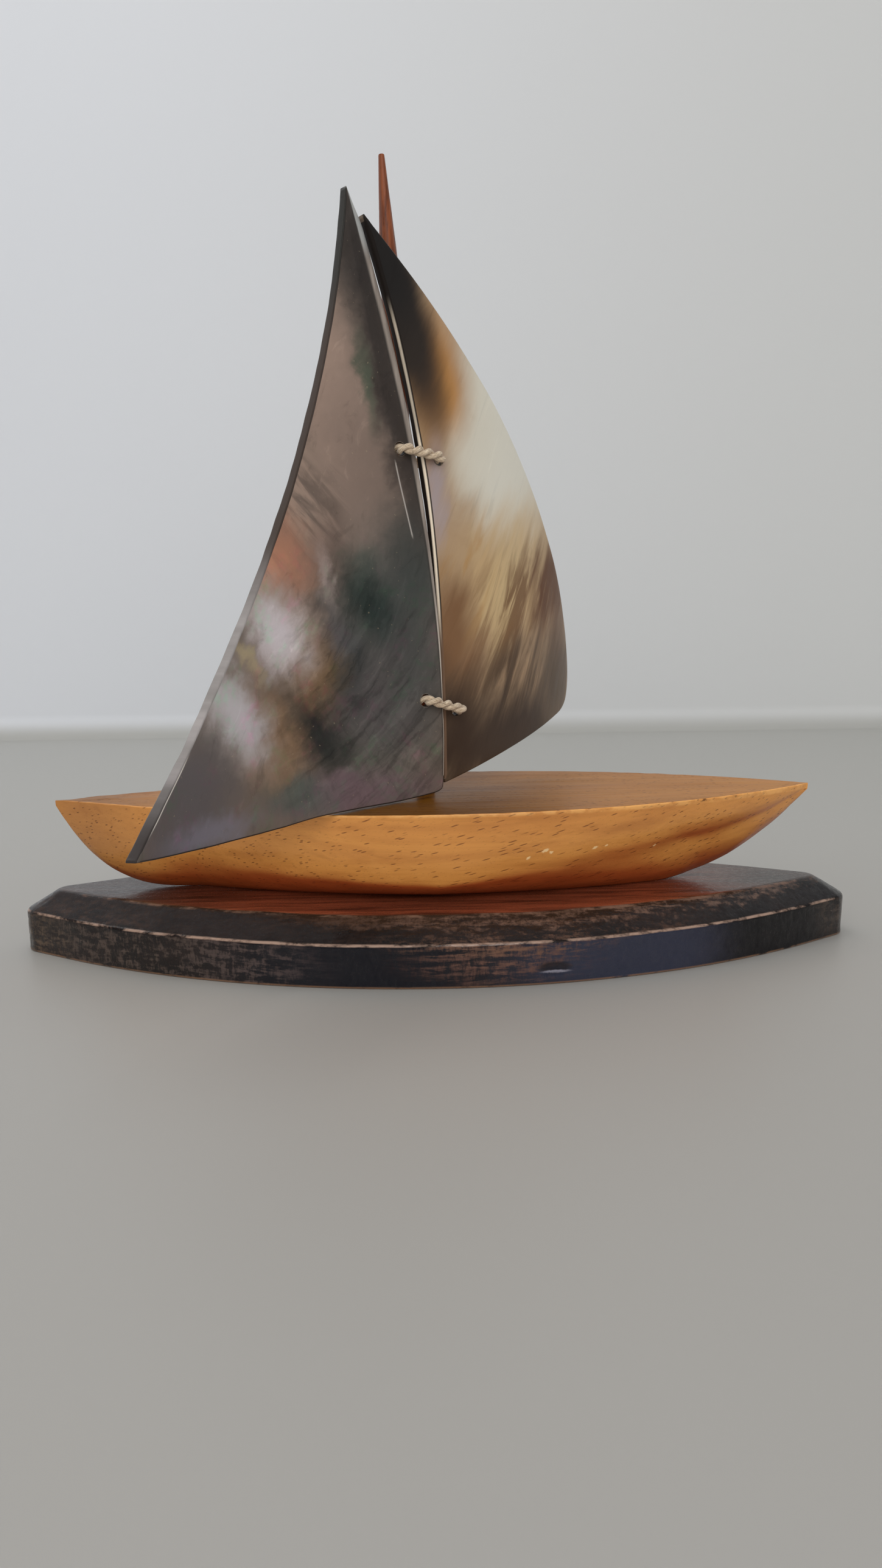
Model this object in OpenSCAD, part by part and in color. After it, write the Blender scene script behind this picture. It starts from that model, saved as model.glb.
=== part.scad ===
// Table ornament in the shape of a two-sailed boat: a stained plinth, a varnished
// wooden hull, a whittled dowel mast and two curved shell plates lashed to the mast
// with cord. Millimetres. +X towards the stern, +Y to starboard, +Z up. The origin is
// on the underside of the plinth, below the middle of the hull. The sails' front faces
// look roughly to port (-Y), and the mast stands behind them.

/* [Plinth] */
// Length of the plinth, nose to nose
plinth_length = 209; // [200:1:225]
// Widest part of the plinth
plinth_width = 74.8; // [72:0.2:90]
// Thickness of the plank the plinth is cut from
plinth_height = 15.2; // [14:0.1:18]
// Height of the chamfer round the top edge
chamfer_height = 5; // [2:0.1:7]
// Width of the same chamfer, seen from above
chamfer_width = 8.2; // [4:0.1:12]
// Radius of the two blunt noses
nose_radius = 6; // [4:0.5:8]
// How far the plinth's middle sits towards the stern from the hull's middle
plinth_shift = 0.8; // [0:0.1:2]

/* [Hull] */
// Length of the hull, tip to tip, along the deck
hull_length = 190; // [185:1:196]
// Widest part of the deck
hull_width = 58.4; // [56:0.2:62]
// Height of the hull from the plinth to the deck amidships
hull_height = 23.3; // [22:0.1:24]
// Rise of the deck from amidships to the stern tip, and its equal drop to the bow tip
deck_trim = 0.7; // [0:0.1:0.8]
// Width of the flat keel that rests on the plinth
keel_width = 25; // [20:0.5:28]

/* [Mast] */
// Diameter of the dowel
mast_diameter = 4.6; // [4:0.1:4.8]
// Length of the mast above the deck
mast_height = 148.3; // [140:0.1:160]
// Lean of the mast towards the bow, in degrees
mast_lean = 3.3; // [3:0.1:3.5]
// Diameter of the whittled tip
mast_tip_diameter = 1.4; // [1:0.1:3]
// Length of the whittled taper
mast_taper = 25; // [15:1:35]
// Depth of the mast's socket in the hull
socket_depth = 15; // [8:0.5:18]

/* [Sails] */
// Thickness of the two shell plates
shell_thickness = 2.4; // [1.8:0.1:2.6]
// Radius of curvature of the jib's hollow front face
jib_radius = 150; // [148:0.5:155]
// Radius of curvature of the mainsail's domed front face
main_radius = 140; // [138:0.5:141]

/* [Lashings] */
// Diameter of the cord
cord_diameter = 2.6; // [1.8:0.1:2.7]
// Gap all round the cord where it passes through a plate
cord_gap = 0.4; // [0.35:0.05:0.5]

/* [Screws] */
// Diameter of the wood screws over the thread
screw_diameter = 3.5; // [3:0.1:4]
// Length of the wood screws
screw_length = 28; // [24:1:30]
// Distance of each screw from the middle
screw_x = 34; // [25:1:38]

/* [Hidden] */
$fn = 64;

// ---- helpers ----
function turn_x(a, v) = [v[0], v[1]*cos(a) - v[2]*sin(a), v[1]*sin(a) + v[2]*cos(a)];
function turn_y(a, v) = [v[0]*cos(a) + v[2]*sin(a), v[1], -v[0]*sin(a) + v[2]*cos(a)];
function turn_z(a, v) = [v[0]*cos(a) - v[1]*sin(a), v[0]*sin(a) + v[1]*cos(a), v[2]];
function unit(v) = v/norm(v);
function clamp(share) = min(1, max(0, share));
// Bezier curve through four handles; curve() leaves out its end point
function bezier(p, t) =
    pow(1-t, 3)*p[0] + 3*pow(1-t, 2)*t*p[1] + 3*(1-t)*t*t*p[2] + pow(t, 3)*p[3];
function curve(handles, steps) = [for (i = [0:steps-1]) bezier(handles, i/steps)];

// ---- plinth ----
cut = 1;               // how far cutters reach past a face
screw_rim = 0.25;      // upright rim of the screw head
screw_seat = 1.5;      // height of the countersink's wide end
head_hole = 2*screw_diameter + 0.5;
shank_hole = screw_diameter + 0.4;
outline_steps = 22;

// y of an arc with the given half length and half width
function lens_y(x, half_l, half_w) =
    let (arc_r = (half_l*half_l + half_w*half_w)/(2*half_w))
    sqrt(arc_r*arc_r - x*x) - (arc_r - half_w);

// Lens of two equal arcs, its pointed ends rounded off to blunt noses
module plinth_outline(half_l, half_w, nose) {
    tip = half_l + nose*0.58;   // where the two arcs would meet
    nose_x = half_l - nose;
    hull() {
        for (s = [-1, 1]) translate([s*nose_x, 0]) circle(r = nose, $fn = 32);
        polygon([for (s = [1, -1], i = [-outline_steps:outline_steps])
            let (x = s*i*nose_x/outline_steps) [x, s*lens_y(x, tip, half_w)]]);
    }
}

// Upright edge below, one wide chamfer all round above
module plinth_blank() {
    half_l = plinth_length/2;
    half_w = plinth_width/2;
    skin = 0.01;
    hull() {
        linear_extrude(plinth_height - chamfer_height)
            plinth_outline(half_l, half_w, nose_radius);
        translate([0, 0, plinth_height - skin]) linear_extrude(skin)
            plinth_outline(half_l - chamfer_width, half_w - chamfer_width, nose_radius*0.5);
    }
}

module plinth() {
    color([0.13, 0.10, 0.10])
    difference() {
        translate([plinth_shift, 0, 0]) plinth_blank();
        for (s = [-1, 1]) translate([s*screw_x, 0, 0]) {
            // clearance hole, countersink and the recess that keeps the head off the table
            translate([0, 0, -cut]) cylinder(d = shank_hole, h = plinth_height + 2*cut);
            translate([0, 0, screw_seat])
                cylinder(d1 = head_hole, d2 = shank_hole, h = screw_diameter/2 + 0.05);
            translate([0, 0, -cut]) cylinder(d = head_hole, h = screw_seat + cut + 0.001);
        }
    }
}

// ---- hull ----
// Along the hull, t runs from -1 at the bow tip to 1 at the stern tip
stations = 56;
tip_thickness = 1.3;
// The flank's curve, as [share of the way out, share of the way up]:
// from the keel's edge to the chine, then from the chine to the deck's edge
lower_flank = [[0, 0], [0.36, 0.22], [0.70, 0.56], [1, 1]];
upper_flank = [[0.34, 0.20], [0.62, 0.43], [0.84, 0.69], [1, 1]];

// 0 up to the start, rising evenly to 1 at the tip
function ramp(t, start) = max(0, (t - start)/(1 - start));
// deck outline: full towards the stern, finer towards the bow
function deck_y(t) =
    hull_width/2*(t >= 0 ? pow(1 - pow(t, 2.2), 0.95) : pow(1 - t*t, 1.2));
function deck_z(t) = plinth_height + hull_height + deck_trim*t;
// the underside is flat amidships and sweeps up to both tips
function keel_z(t) = let (bow = ramp(-t, 0.632), stern = ramp(t, 0.579))
    plinth_height + (hull_height - tip_thickness)*(pow(bow, 3.1) + pow(stern, 1.95))
    + deck_trim*(pow(stern, 2) - pow(bow, 2));
function keel_y(t) = let (q = (t - 0.035)/0.66) max(0.12, keel_width/2*(1 - q*q));
// height of the carved chine, as a share of the section's height
function chine_share(t) = 0.19 + 0.33*clamp(t/0.62) + 0.16*clamp(-t/0.6);

function flank(from, to, shares) = [for (share = shares)
    [from[0] + (to[0] - from[0])*share[0], from[1] + (to[1] - from[1])*share[1]]];
// [y, z] points from the keel's edge up to the deck's edge
function side_points(t) = let (
    deck = [max(0.3, deck_y(t)), deck_z(t)],
    keel = [min(keel_y(t), 0.9*deck[0]), keel_z(t)],
    chine = [keel[0] + (deck[0] - keel[0])*(0.58 + 0.12*(1 - abs(t))),
        keel[1] + (deck[1] - keel[1])*chine_share(t)])
    [each flank(keel, chine, lower_flank), each flank(chine, deck, upper_flank)];
// one cross-section: up from the keel on each side, joined across the deck
function section(i) = let (
    t = sin(90*(-1 + 2*i/stations)),   // closer together at the tips
    x = t*hull_length/2,
    points = side_points(t),
    last = len(points) - 1)
    [for (k = [0:last]) [x, -points[k][0], points[k][1]],
     for (k = [last:-1:0]) [x, points[k][0], points[k][1]]];

module hull_blank() {
    n = 2*(len(lower_flank) + len(upper_flank));
    polyhedron(points = [for (i = [0:stations]) each section(i)], faces = [
        [for (k = [0:n-1]) k],
        for (i = [0:stations-1], k = [0:n-1])
            let (a = i*n + k, b = i*n + (k+1)%n) each [[a, a + n, b + n], [a, b + n, b]],
        [for (k = [n-1:-1:0]) stations*n + k]
    ], convexity = 4);
}

module hull_body() {
    color([0.74, 0.47, 0.20])
    difference() {
        hull_blank();
        // socket for the mast
        mast_axis() translate([0, 0, -socket_depth])
            cylinder(d = mast_diameter + 0.1, h = socket_depth + 10);
        // pilot holes for the screws
        for (s = [-1, 1]) translate([s*screw_x, 0, plinth_height - cut])
            cylinder(d = screw_diameter + 0.1, h = screw_length - plinth_height + 4.5);
    }
}

// ---- screws ----
module wood_screw() {
    r = screw_diameter/2;
    core = r*0.68;
    thread_length = screw_length*0.62;
    thread_start = screw_length - thread_length;
    pitch = 1.4;
    turns = floor((thread_length - 4)/pitch);
    point_length = 3;
    slot_width = 0.7;
    difference() {
        // countersunk head, shank, thread ridges and point
        rotate_extrude() polygon([
            [0, 0], [2*r, 0], [2*r, screw_rim], [r, r + screw_rim], [r, thread_start],
            for (k = [0:turns-1]) let (z = thread_start + k*pitch)
                each [[core, z + 0.5], [r, z + 0.9], [core, z + 1.3]],
            [core, screw_length - point_length], [0, screw_length]]);
        // cross recess
        for (a = [0, 90]) rotate([0, 0, a])
            translate([-r, -slot_width/2, -0.1]) cube([2*r, slot_width, 1.2]);
    }
}

module hull_screws() {
    color([0.78, 0.64, 0.32])
    for (s = [-1, 1]) translate([s*screw_x, 0, screw_seat - screw_rim]) wood_screw();
}

// ---- mast ----
// where the mast's axis meets deck level
mast_base = [-2.6, -0.45, plinth_height + hull_height];
module mast_axis() { translate(mast_base) rotate([0, -mast_lean, 0]) children(); }
// point on the mast's axis at a height above the table
function mast_at(z) = [mast_base[0] - (z - mast_base[2])*tan(mast_lean), mast_base[1], z];

module mast() {
    r = mast_diameter/2;
    foot = -socket_depth + 0.2;
    color([0.50, 0.30, 0.20])
    mast_axis() rotate_extrude() polygon([
        [0, foot], [r - 0.5, foot], [r, foot + 0.7],
        [r, mast_height - mast_taper], [mast_tip_diameter/2, mast_height], [0, mast_height]]);
}

// ---- sails ----
// Each sail is a plate cut from a gently curved shell. A sail's own frame has its z along
// the shell's axis, x from the axis towards the middle of the sail and y along the sail.
// [point on the shell's axis, tilts of the axis about x and y, heading of the sail's middle]
jib_frame  = [[81.7, -130.5, 100], [-2.7, -1.65], 150];
main_frame = [[-92.25, 102.2, 100], [-1.9, -2.3], -35];
function turn(frame, v) = turn_y(frame[1][1], turn_x(frame[1][0], turn_z(frame[2], v)));
function place(frame, v) = frame[0] + turn(frame, v);
module in_frame(frame) {
    translate(frame[0]) rotate([frame[1][0], frame[1][1], 0]) rotate([0, 0, frame[2]])
        children();
}

// Outline points are [distance along the sail, height]. Jib corners: peak, tack (low outer
// corner) and clew (low inner corner at the mast)
jib_peak = [-49.5, 83];
jib_tack = [24, -52.5];
jib_foot = [-24, -53.4];         // on the lower edge
jib_clew = [-67, -51];
jib_inner_start = [-68.2, -49.5];
// The jib's inner edge carries a lip that widens upwards and fades out at the peak
lip_width = 2.3;
function lip(z) = lip_width*clamp((z + 30)/80)*clamp((83.5 - z)/6);
jib_outline = [
    each curve([jib_peak, [-41.5, 28], [-14.5, -19], jib_tack], 28),
    each curve([jib_tack, [12, -53.4], [-8, -53.6], jib_foot], 8),
    each curve([jib_foot, [-38, -53.2], [-52, -52.6], jib_clew], 8),
    each curve([jib_clew, [-67.7, -50.8], [-68.1, -50.3], jib_inner_start], 3),
    for (q = curve([jib_inner_start, [-71.4, -4.5], [-61.7, 46.5], jib_peak], 36))
        [q[0] - lip(q[1]), q[1]]];

// Mainsail corners: peak, clew (rounded outer corner) and tack at the mast
main_peak = [-47.9, 62.6];
main_clew = [37.5, -40];
main_foot = [25, -54.2];         // outer end of the lower edge
main_tack = [-33.9, -65.7];
main_outline = [
    each curve([main_peak, [-8.5, 26.9], [34.7, -7.8], main_clew], 28),
    each curve([main_clew, [38, -49], [34, -52.6], main_foot], 8),
    each curve([main_foot, [4, -57.8], [-18, -62.5], main_tack], 16),
    each curve([main_tack, [-31.3, -18.5], [-31.4, 12.5], main_peak], 28)];

// Where the cords pass through, upper then lower: [distance along the sail, height]
jib_holes  = [[-60.3, 29.2], [-64.3, -29.4]];
main_holes = [[-30.6, 12.2], [-28.8, -48.0]];

// Plate with inner radius r_in; the holes are measured round its front face, radius r_front
module plate(r_in, r_front, outline, holes) {
    difference() {
        intersection() {
            difference() {
                translate([0, 0, -80]) cylinder(r = r_in + shell_thickness, h = 180, $fn = 128);
                translate([0, 0, -81]) cylinder(r = r_in, h = 182, $fn = 128);
            }
            rotate([90, 0, 90]) translate([0, 0, r_in*0.7])
                linear_extrude(r_in*0.5) polygon(outline);
        }
        for (hole = holes) rotate([0, 0, asin(hole[0]/r_front)])
            translate([r_in - 4, 0, hole[1]]) rotate([0, 90, 0])
                cylinder(r = cord_diameter/2 + cord_gap, h = shell_thickness + 8);
    }
}

module jib() {
    color([0.42, 0.40, 0.40])
    in_frame(jib_frame) plate(jib_radius, jib_radius, jib_outline, jib_holes);
}

module mainsail() {
    color([0.72, 0.63, 0.50])
    in_frame(main_frame)
        plate(main_radius - shell_thickness, main_radius, main_outline, main_holes);
}

// ---- lashings ----
// A lashing is one closed turn of cord: through the jib, behind the mast, out through the
// mainsail and back across the front. Its middle line is a four-cornered loop with rounded
// corners. A cord leg crosses its plate in the middle of the hole and then clears the mast,
// so it may lean a few degrees off the hole's axis.
mast_reach = mast_diameter/2 + cord_diameter/2 + 0.3;    // beside the mast
behind_mast = mast_diameter/2 + cord_diameter/2 + 1.5;
// room below the cord at [the jib's hole, the mainsail's hole], upper then lower lashing
cord_room = [[0.55, 0.55], [0.8, 1.7]];
front_bend = 1.75;
back_bend = 3.4;
// The reef knot that closes the turn is a thicker stretch behind the mast
knot_bump = 1.1;
knot_width = 2.6;
cord_sides = 12;

// arc of radius r that rounds corner p between its neighbours a and b
function fillet(a, p, b, r, steps) = let (
    u = unit(a - p), v = unit(b - p), half = acos(u*v)/2,
    centre = p + unit(u + v)*r/sin(half),
    start = p + u*r/tan(half) - centre, end = p + v*r/tan(half) - centre,
    sweep = acos((start*end)/(r*r)))
    [for (i = [0:steps])
        centre + (start*sin(sweep*(1 - i/steps)) + end*sin(sweep*i/steps))/sin(sweep)];
// point where the line p + k*d meets the plane through q with normal m
function meet(p, d, q, m) = p + d*(((q - p)*m)/(d*m));
function between(a, b, shares) = [for (share = shares) a + (b - a)*share];

// A leg is [hole's middle on the front face, direction out of that face, cord's distance
// in front]. facing is 1 where the front is the shell's outside, -1 where it is the inside
function leg(frame, r, facing, hole, room) = let (a = asin(hole[0]/r))
    [place(frame, [r*cos(a), r*sin(a), hole[1]]), facing*turn(frame, [cos(a), sin(a), 0]),
     cord_diameter/2 + room];
// side is -1 for the jib's side of the mast and 1 for the mainsail's
function back_corner(leg, side, behind, across, back) =
    let (crossing = meet(leg[0], leg[1], behind, back))
    behind + across*side*max(side*((crossing - behind)*across), mast_reach)
    + [0, 0, crossing[2] - behind[2]];
function front_corner(leg, rear) = let (middle = leg[0] - leg[1]*shell_thickness/2)
    middle + unit(middle - rear)*(leg[2] + shell_thickness/2);
// jib front, jib back, mainsail back, mainsail front
function loop_corners(i) = let (
    jib_leg = leg(jib_frame, jib_radius, -1, jib_holes[i], cord_room[i][0]),
    main_leg = leg(main_frame, main_radius, 1, main_holes[i], cord_room[i][1]),
    span = main_leg[0] + main_leg[1]*main_leg[2] - jib_leg[0] - jib_leg[1]*jib_leg[2],
    across = unit([span[0], span[1], 0]),
    back = [-across[1], across[0], 0],
    behind = mast_at((jib_leg[0][2] + main_leg[0][2])/2) + back*behind_mast,
    jib_back = back_corner(jib_leg, -1, behind, across, back),
    main_back = back_corner(main_leg, 1, behind, across, back))
    [front_corner(jib_leg, jib_back), jib_back, main_back, front_corner(main_leg, main_back)];

function loop_path(c) = [
    each fillet(c[3], c[0], c[1], front_bend, 7),
    each between(c[0], c[1], [0.37, 0.49, 0.61]),
    each fillet(c[0], c[1], c[2], back_bend, 8),
    each between(c[1], c[2], [for (k = [-3:3]) 0.5 + 0.055*k]),
    each fillet(c[1], c[2], c[3], back_bend, 8),
    each between(c[2], c[3], [0.39, 0.51, 0.63]),
    each fillet(c[2], c[3], c[0], front_bend, 7)];

module cord_loop(i) {
    corners = loop_corners(i);
    path = loop_path(corners);
    n = len(path);
    m = cord_sides;
    knot = (corners[1] + corners[2])/2;
    axis = unit([-sin(mast_lean), 0, cos(mast_lean)]);
    points = [for (k = [0:n-1]) let (
        along = unit(path[(k+1)%n] - path[(k+n-1)%n]),
        side = unit(cross(along, axis)),
        up = cross(side, along),
        r = cord_diameter/2 + knot_bump*exp(-pow(norm(path[k] - knot)/knot_width, 4)))
        for (j = [0:m-1]) path[k] + (side*cos(360*j/m) + up*sin(360*j/m))*r];
    polyhedron(points = points, faces = [for (k = [0:n-1], j = [0:m-1])
        let (next = (k+1)%n, a = k*m + j, b = k*m + (j+1)%m, c = next*m + (j+1)%m)
        each [[a, b, c], [a, c, next*m + j]]], convexity = 4);
}

module upper_lashing() { color([0.80, 0.72, 0.60]) cord_loop(0); }
module lower_lashing() { color([0.80, 0.72, 0.60]) cord_loop(1); }

plinth();
hull_body();  // hull
hull_screws();
mast();
jib();
mainsail();
upper_lashing();
lower_lashing();
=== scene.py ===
"""Desk model of a sailing boat: a carved hull on a stained plinth, a leaning mast and two
curved shell sails lashed together round it with twine.

+Z is up, the hull lies along X with its bow at -X, and the camera looks along +Y.
Lengths are in millimetres, turned into metres as meshes are made; the camera and the
lights are placed in metres.
"""
import math

import bmesh
import bpy
import numpy as np
from mathutils import Matrix, Vector
from mathutils.geometry import delaunay_2d_cdt


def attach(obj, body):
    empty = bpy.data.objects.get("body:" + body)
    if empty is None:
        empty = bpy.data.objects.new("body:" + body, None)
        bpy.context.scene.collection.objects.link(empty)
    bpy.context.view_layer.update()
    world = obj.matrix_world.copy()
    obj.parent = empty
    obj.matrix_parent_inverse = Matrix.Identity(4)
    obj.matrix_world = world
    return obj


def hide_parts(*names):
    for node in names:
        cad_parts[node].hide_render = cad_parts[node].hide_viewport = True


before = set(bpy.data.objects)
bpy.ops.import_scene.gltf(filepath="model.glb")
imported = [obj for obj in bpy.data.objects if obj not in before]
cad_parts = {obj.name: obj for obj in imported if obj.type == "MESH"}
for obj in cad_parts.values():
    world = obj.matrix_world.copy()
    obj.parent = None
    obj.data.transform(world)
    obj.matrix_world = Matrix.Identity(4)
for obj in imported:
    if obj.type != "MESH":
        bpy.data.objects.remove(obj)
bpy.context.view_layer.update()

MM = 0.001
UP = np.array([0.0, 0.0, 1.0])

# ------------------------------------------------------------------ driving dimensions
PLINTH_TOP = 15.2
PLINTH_HALF_LENGTH, PLINTH_HALF_WIDTH, PLINTH_NOSE_R, PLINTH_X = 104.5, 37.4, 6.0, 0.8
CHAMFER_HEIGHT, CHAMFER_RUN = 5.0, 8.2
SHOULDER_Z = PLINTH_TOP - CHAMFER_HEIGHT            # lower arris of the chamfer

HULL_HALF_LENGTH, HULL_HALF_WIDTH, HULL_HEIGHT = 95.0, 29.2, 23.3
TRIM = 0.7                                          # rise of the stern, fall of the bow
KEEL_WIDTH = 25.0
DECK_Z = PLINTH_TOP + HULL_HEIGHT
SCREW_X = 34.0

MAST_FOOT = np.array([-2.6, -0.45, DECK_Z])
LEAN = math.radians(3.3)                            # towards -X
MAST_DIR = np.array([-math.sin(LEAN), 0, math.cos(LEAN)])
MAST_R, MAST_HEIGHT, MAST_TAPER, MAST_TIP_R = 2.3, 148.3, 25.0, 0.7
MAST_SUNK = 14.8                                    # depth of the mast's end below the deck

SAIL_THICK = 2.4
HOLE_R = 1.48
JIB_HOLES = [(-60.3, 29.2), (-64.3, -29.4)]         # (y, z) on the shell: upper, lower
MAIN_HOLES = [(-30.6, 12.2), (-28.8, -48.0)]
JIB_PEAK = (-49.1, 84.2)
# crease on the jib: y = CREASE_Y + CREASE_SLOPE z + CREASE_BEND (z - CREASE_MID_Z)^2
CREASE_Y, CREASE_SLOPE, CREASE_BEND, CREASE_MID_Z = -64.15, 0.2065, -0.0002, 40.0

CORD = 2.6
CORD_LIFT = [(0.55, 0.55), (0.8, 1.7)]              # gap over the jib and the mainsail, per lashing

CELL = 1.1                   # triangle size on the sails


# ------------------------------------------------------------------ small maths
def rotation(axis, degrees):
    """Matrix that turns about x, y or z (axis 0, 1 or 2)."""
    i, j = (axis + 1) % 3, (axis + 2) % 3
    angle = math.radians(degrees)
    turn = np.eye(3)
    turn[i, i] = turn[j, j] = math.cos(angle)
    turn[i, j], turn[j, i] = -math.sin(angle), math.sin(angle)
    return turn


def unit(v):
    """v, or each row of v, at length 1."""
    v = np.asarray(v, float)
    return v / np.linalg.norm(v, axis=-1, keepdims=True)


def smooth(x, start, end):
    t = np.clip((np.asarray(x, float) - start) / (end - start), 0, 1)
    return t * t * (3 - 2 * t)


def cubic(controls, t):
    a, b, c, d = (np.asarray(q, float) for q in controls)
    t = np.asarray(t, float)[:, None]
    return (1 - t) ** 3 * a + 3 * (1 - t) ** 2 * t * b + 3 * (1 - t) * t * t * c + t ** 3 * d


def quadratic(a, b, c, t):
    return (1 - t) ** 2 * a + 2 * t * (1 - t) * b + t * t * c


def wobble(points, scale, seed, terms=10):
    """Smooth random field in about -1..1: a sum of plane waves of about the given wavelength."""
    rng = np.random.default_rng(seed)
    points = np.asarray(points, float)
    out = np.zeros(len(points))
    for _ in range(terms):
        wave = rng.normal(size=points.shape[1])
        wave = wave / np.linalg.norm(wave) * 2 * math.pi / (scale * rng.uniform(0.6, 1.8))
        out += np.sin(points @ wave + rng.uniform(0, 6.283))
    return out / math.sqrt(terms) * 0.8


def resample(points, count, closed=False):
    points = np.asarray(points, float)
    line = np.vstack([points, points[:1]]) if closed else points
    along = np.r_[0, np.cumsum(np.linalg.norm(np.diff(line, axis=0), axis=1))]
    at = np.linspace(0, along[-1], count + 1)[:-1] if closed else np.linspace(0, along[-1], count)
    return np.stack([np.interp(at, along, line[:, k]) for k in range(line.shape[1])], 1)


def blur_loop(points, reach, step, sigma):
    """Gaussian blur of a closed line whose points lie step apart."""
    offsets = np.arange(-reach, reach + 1)
    weights = np.exp(-0.5 * (offsets * step / sigma) ** 2)
    weights /= weights.sum()
    return sum(w * np.roll(points, -k, 0) for w, k in zip(weights, offsets))


def circle_angles(count):
    return np.arange(count) / count * 2 * math.pi


# ------------------------------------------------------------------ mesh helpers
def mesh_object(name, verts, faces, smooth_angle=None, weld=True):
    mesh = bpy.data.meshes.new(name)
    mesh.from_pydata([tuple(v) for v in np.asarray(verts) * MM], [], faces)
    mesh.update()
    bm = bmesh.new()
    bm.from_mesh(mesh)
    if weld:
        bmesh.ops.remove_doubles(bm, verts=bm.verts, dist=2e-6)
        bmesh.ops.dissolve_degenerate(bm, edges=bm.edges, dist=1e-6)
    bmesh.ops.recalc_face_normals(bm, faces=bm.faces)
    bm.to_mesh(mesh)
    bm.free()
    ob = bpy.data.objects.new(name, mesh)
    bpy.context.scene.collection.objects.link(ob)
    shade(ob, smooth_angle)
    return ob


def shade(ob, angle=None):
    """Smooth shading, with edges sharper than angle (degrees) left hard."""
    mesh = ob.data
    mesh.polygons.foreach_set("use_smooth", [True] * len(mesh.polygons))
    if angle is not None:
        bm = bmesh.new()
        bm.from_mesh(mesh)
        for e in bm.edges:
            sharp = len(e.link_faces) == 2 and e.calc_face_angle(0) > math.radians(angle)
            e.smooth = not sharp
        bm.to_mesh(mesh)
        bm.free()
    mesh.update()


def cut(ob, cutters):
    """Subtracts closed cutter meshes from ob and keeps the result as ob's own mesh."""
    for cutter in cutters:
        mod = ob.modifiers.new("cut", "BOOLEAN")
        mod.operation = "DIFFERENCE"
        mod.solver = "EXACT"
        mod.object = cutter
    depsgraph = bpy.context.evaluated_depsgraph_get()
    mesh = bpy.data.meshes.new_from_object(ob.evaluated_get(depsgraph))
    ob.modifiers.clear()
    old = ob.data
    ob.data = mesh
    mesh.name = ob.name
    bpy.data.meshes.remove(old)
    for cutter in cutters:
        data = cutter.data
        bpy.data.objects.remove(cutter)
        bpy.data.meshes.remove(data)


def skin(rings, sides, wrap=False, caps=2):
    """Quads over rings of points; caps close the first ring, then the last."""
    faces = []
    for i in range(rings if wrap else rings - 1):
        a, b = i * sides, (i + 1) % rings * sides
        for k in range(sides):
            after = (k + 1) % sides
            faces.append((a + k, a + after, b + after, b + k))
    ends = [tuple(range(sides))[::-1], tuple((rings - 1) * sides + k for k in range(sides))]
    return faces + ends[:caps]


def rod(start, direction, radius, length, end_radius=None, sides=40):
    """Closed round cutter."""
    direction = unit(direction)
    across = unit(np.cross(direction, [0.3, 0.5, 0.81]))
    other = np.cross(direction, across)
    end_radius = radius if end_radius is None else end_radius
    t = circle_angles(sides)
    ring = np.cos(t)[:, None] * across + np.sin(t)[:, None] * other
    verts = np.vstack([start + radius * ring, start + direction * length + end_radius * ring])
    return mesh_object("cutter", verts, skin(2, sides))


def tube(centre, radius, sides, closed=False):
    """Round tube along a line: its points, its faces and (length along, angle round) per point."""
    centre = np.asarray(centre, float)
    count = len(centre)
    radius = np.broadcast_to(radius, (count,))
    if closed:
        tangent = np.roll(centre, -1, 0) - np.roll(centre, 1, 0)
    else:
        tangent = np.gradient(centre, axis=0)
    tangent = unit(tangent)
    normal = np.zeros_like(centre)
    normal[0] = unit(np.cross(tangent[0], [0.31, 0.2, 0.93]))
    for i in range(1, count):
        normal[i] = unit(normal[i - 1] - tangent[i] * (normal[i - 1] @ tangent[i]))
    if closed:                                      # spread the closing twist evenly
        last = unit(normal[-1] - tangent[0] * (normal[-1] @ tangent[0]))
        twist = math.atan2(np.cross(last, normal[0]) @ tangent[0], last @ normal[0])
        for i in range(count):
            a = twist * i / count
            normal[i] = normal[i] * math.cos(a) + np.cross(tangent[i], normal[i]) * math.sin(a)
    binormal = np.cross(tangent, normal)
    t = circle_angles(sides)
    ring = (np.cos(t)[None, :, None] * normal[:, None]
            + np.sin(t)[None, :, None] * binormal[:, None])
    verts = centre[:, None] + radius[:, None, None] * ring
    faces = skin(count, sides, wrap=closed, caps=0 if closed else 2)
    along = np.r_[0, np.cumsum(np.linalg.norm(np.diff(centre, axis=0), axis=1))]
    return verts.reshape(-1, 3), faces, np.stack([np.repeat(along, sides), np.tile(t, count)], 1)


def set_attribute(ob, name, values):
    values = np.asarray(values, np.float32)
    is_vector = values.ndim == 2
    data = ob.data.attributes.new(name, "FLOAT_VECTOR" if is_vector else "FLOAT", "POINT").data
    data.foreach_set("vector" if is_vector else "value", values.ravel())


# ------------------------------------------------------------------ flat outlines
def in_outline(points, outline):
    x, y = points[:, 0][:, None], points[:, 1][:, None]
    a, b = outline, np.roll(outline, -1, 0)
    spans = (a[:, 1] > y) != (b[:, 1] > y)
    with np.errstate(divide="ignore", invalid="ignore"):
        crossing = (b[:, 0] - a[:, 0]) * (y - a[:, 1]) / (b[:, 1] - a[:, 1]) + a[:, 0]
    return (spans & (x < crossing)).sum(1) % 2 == 1


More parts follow.
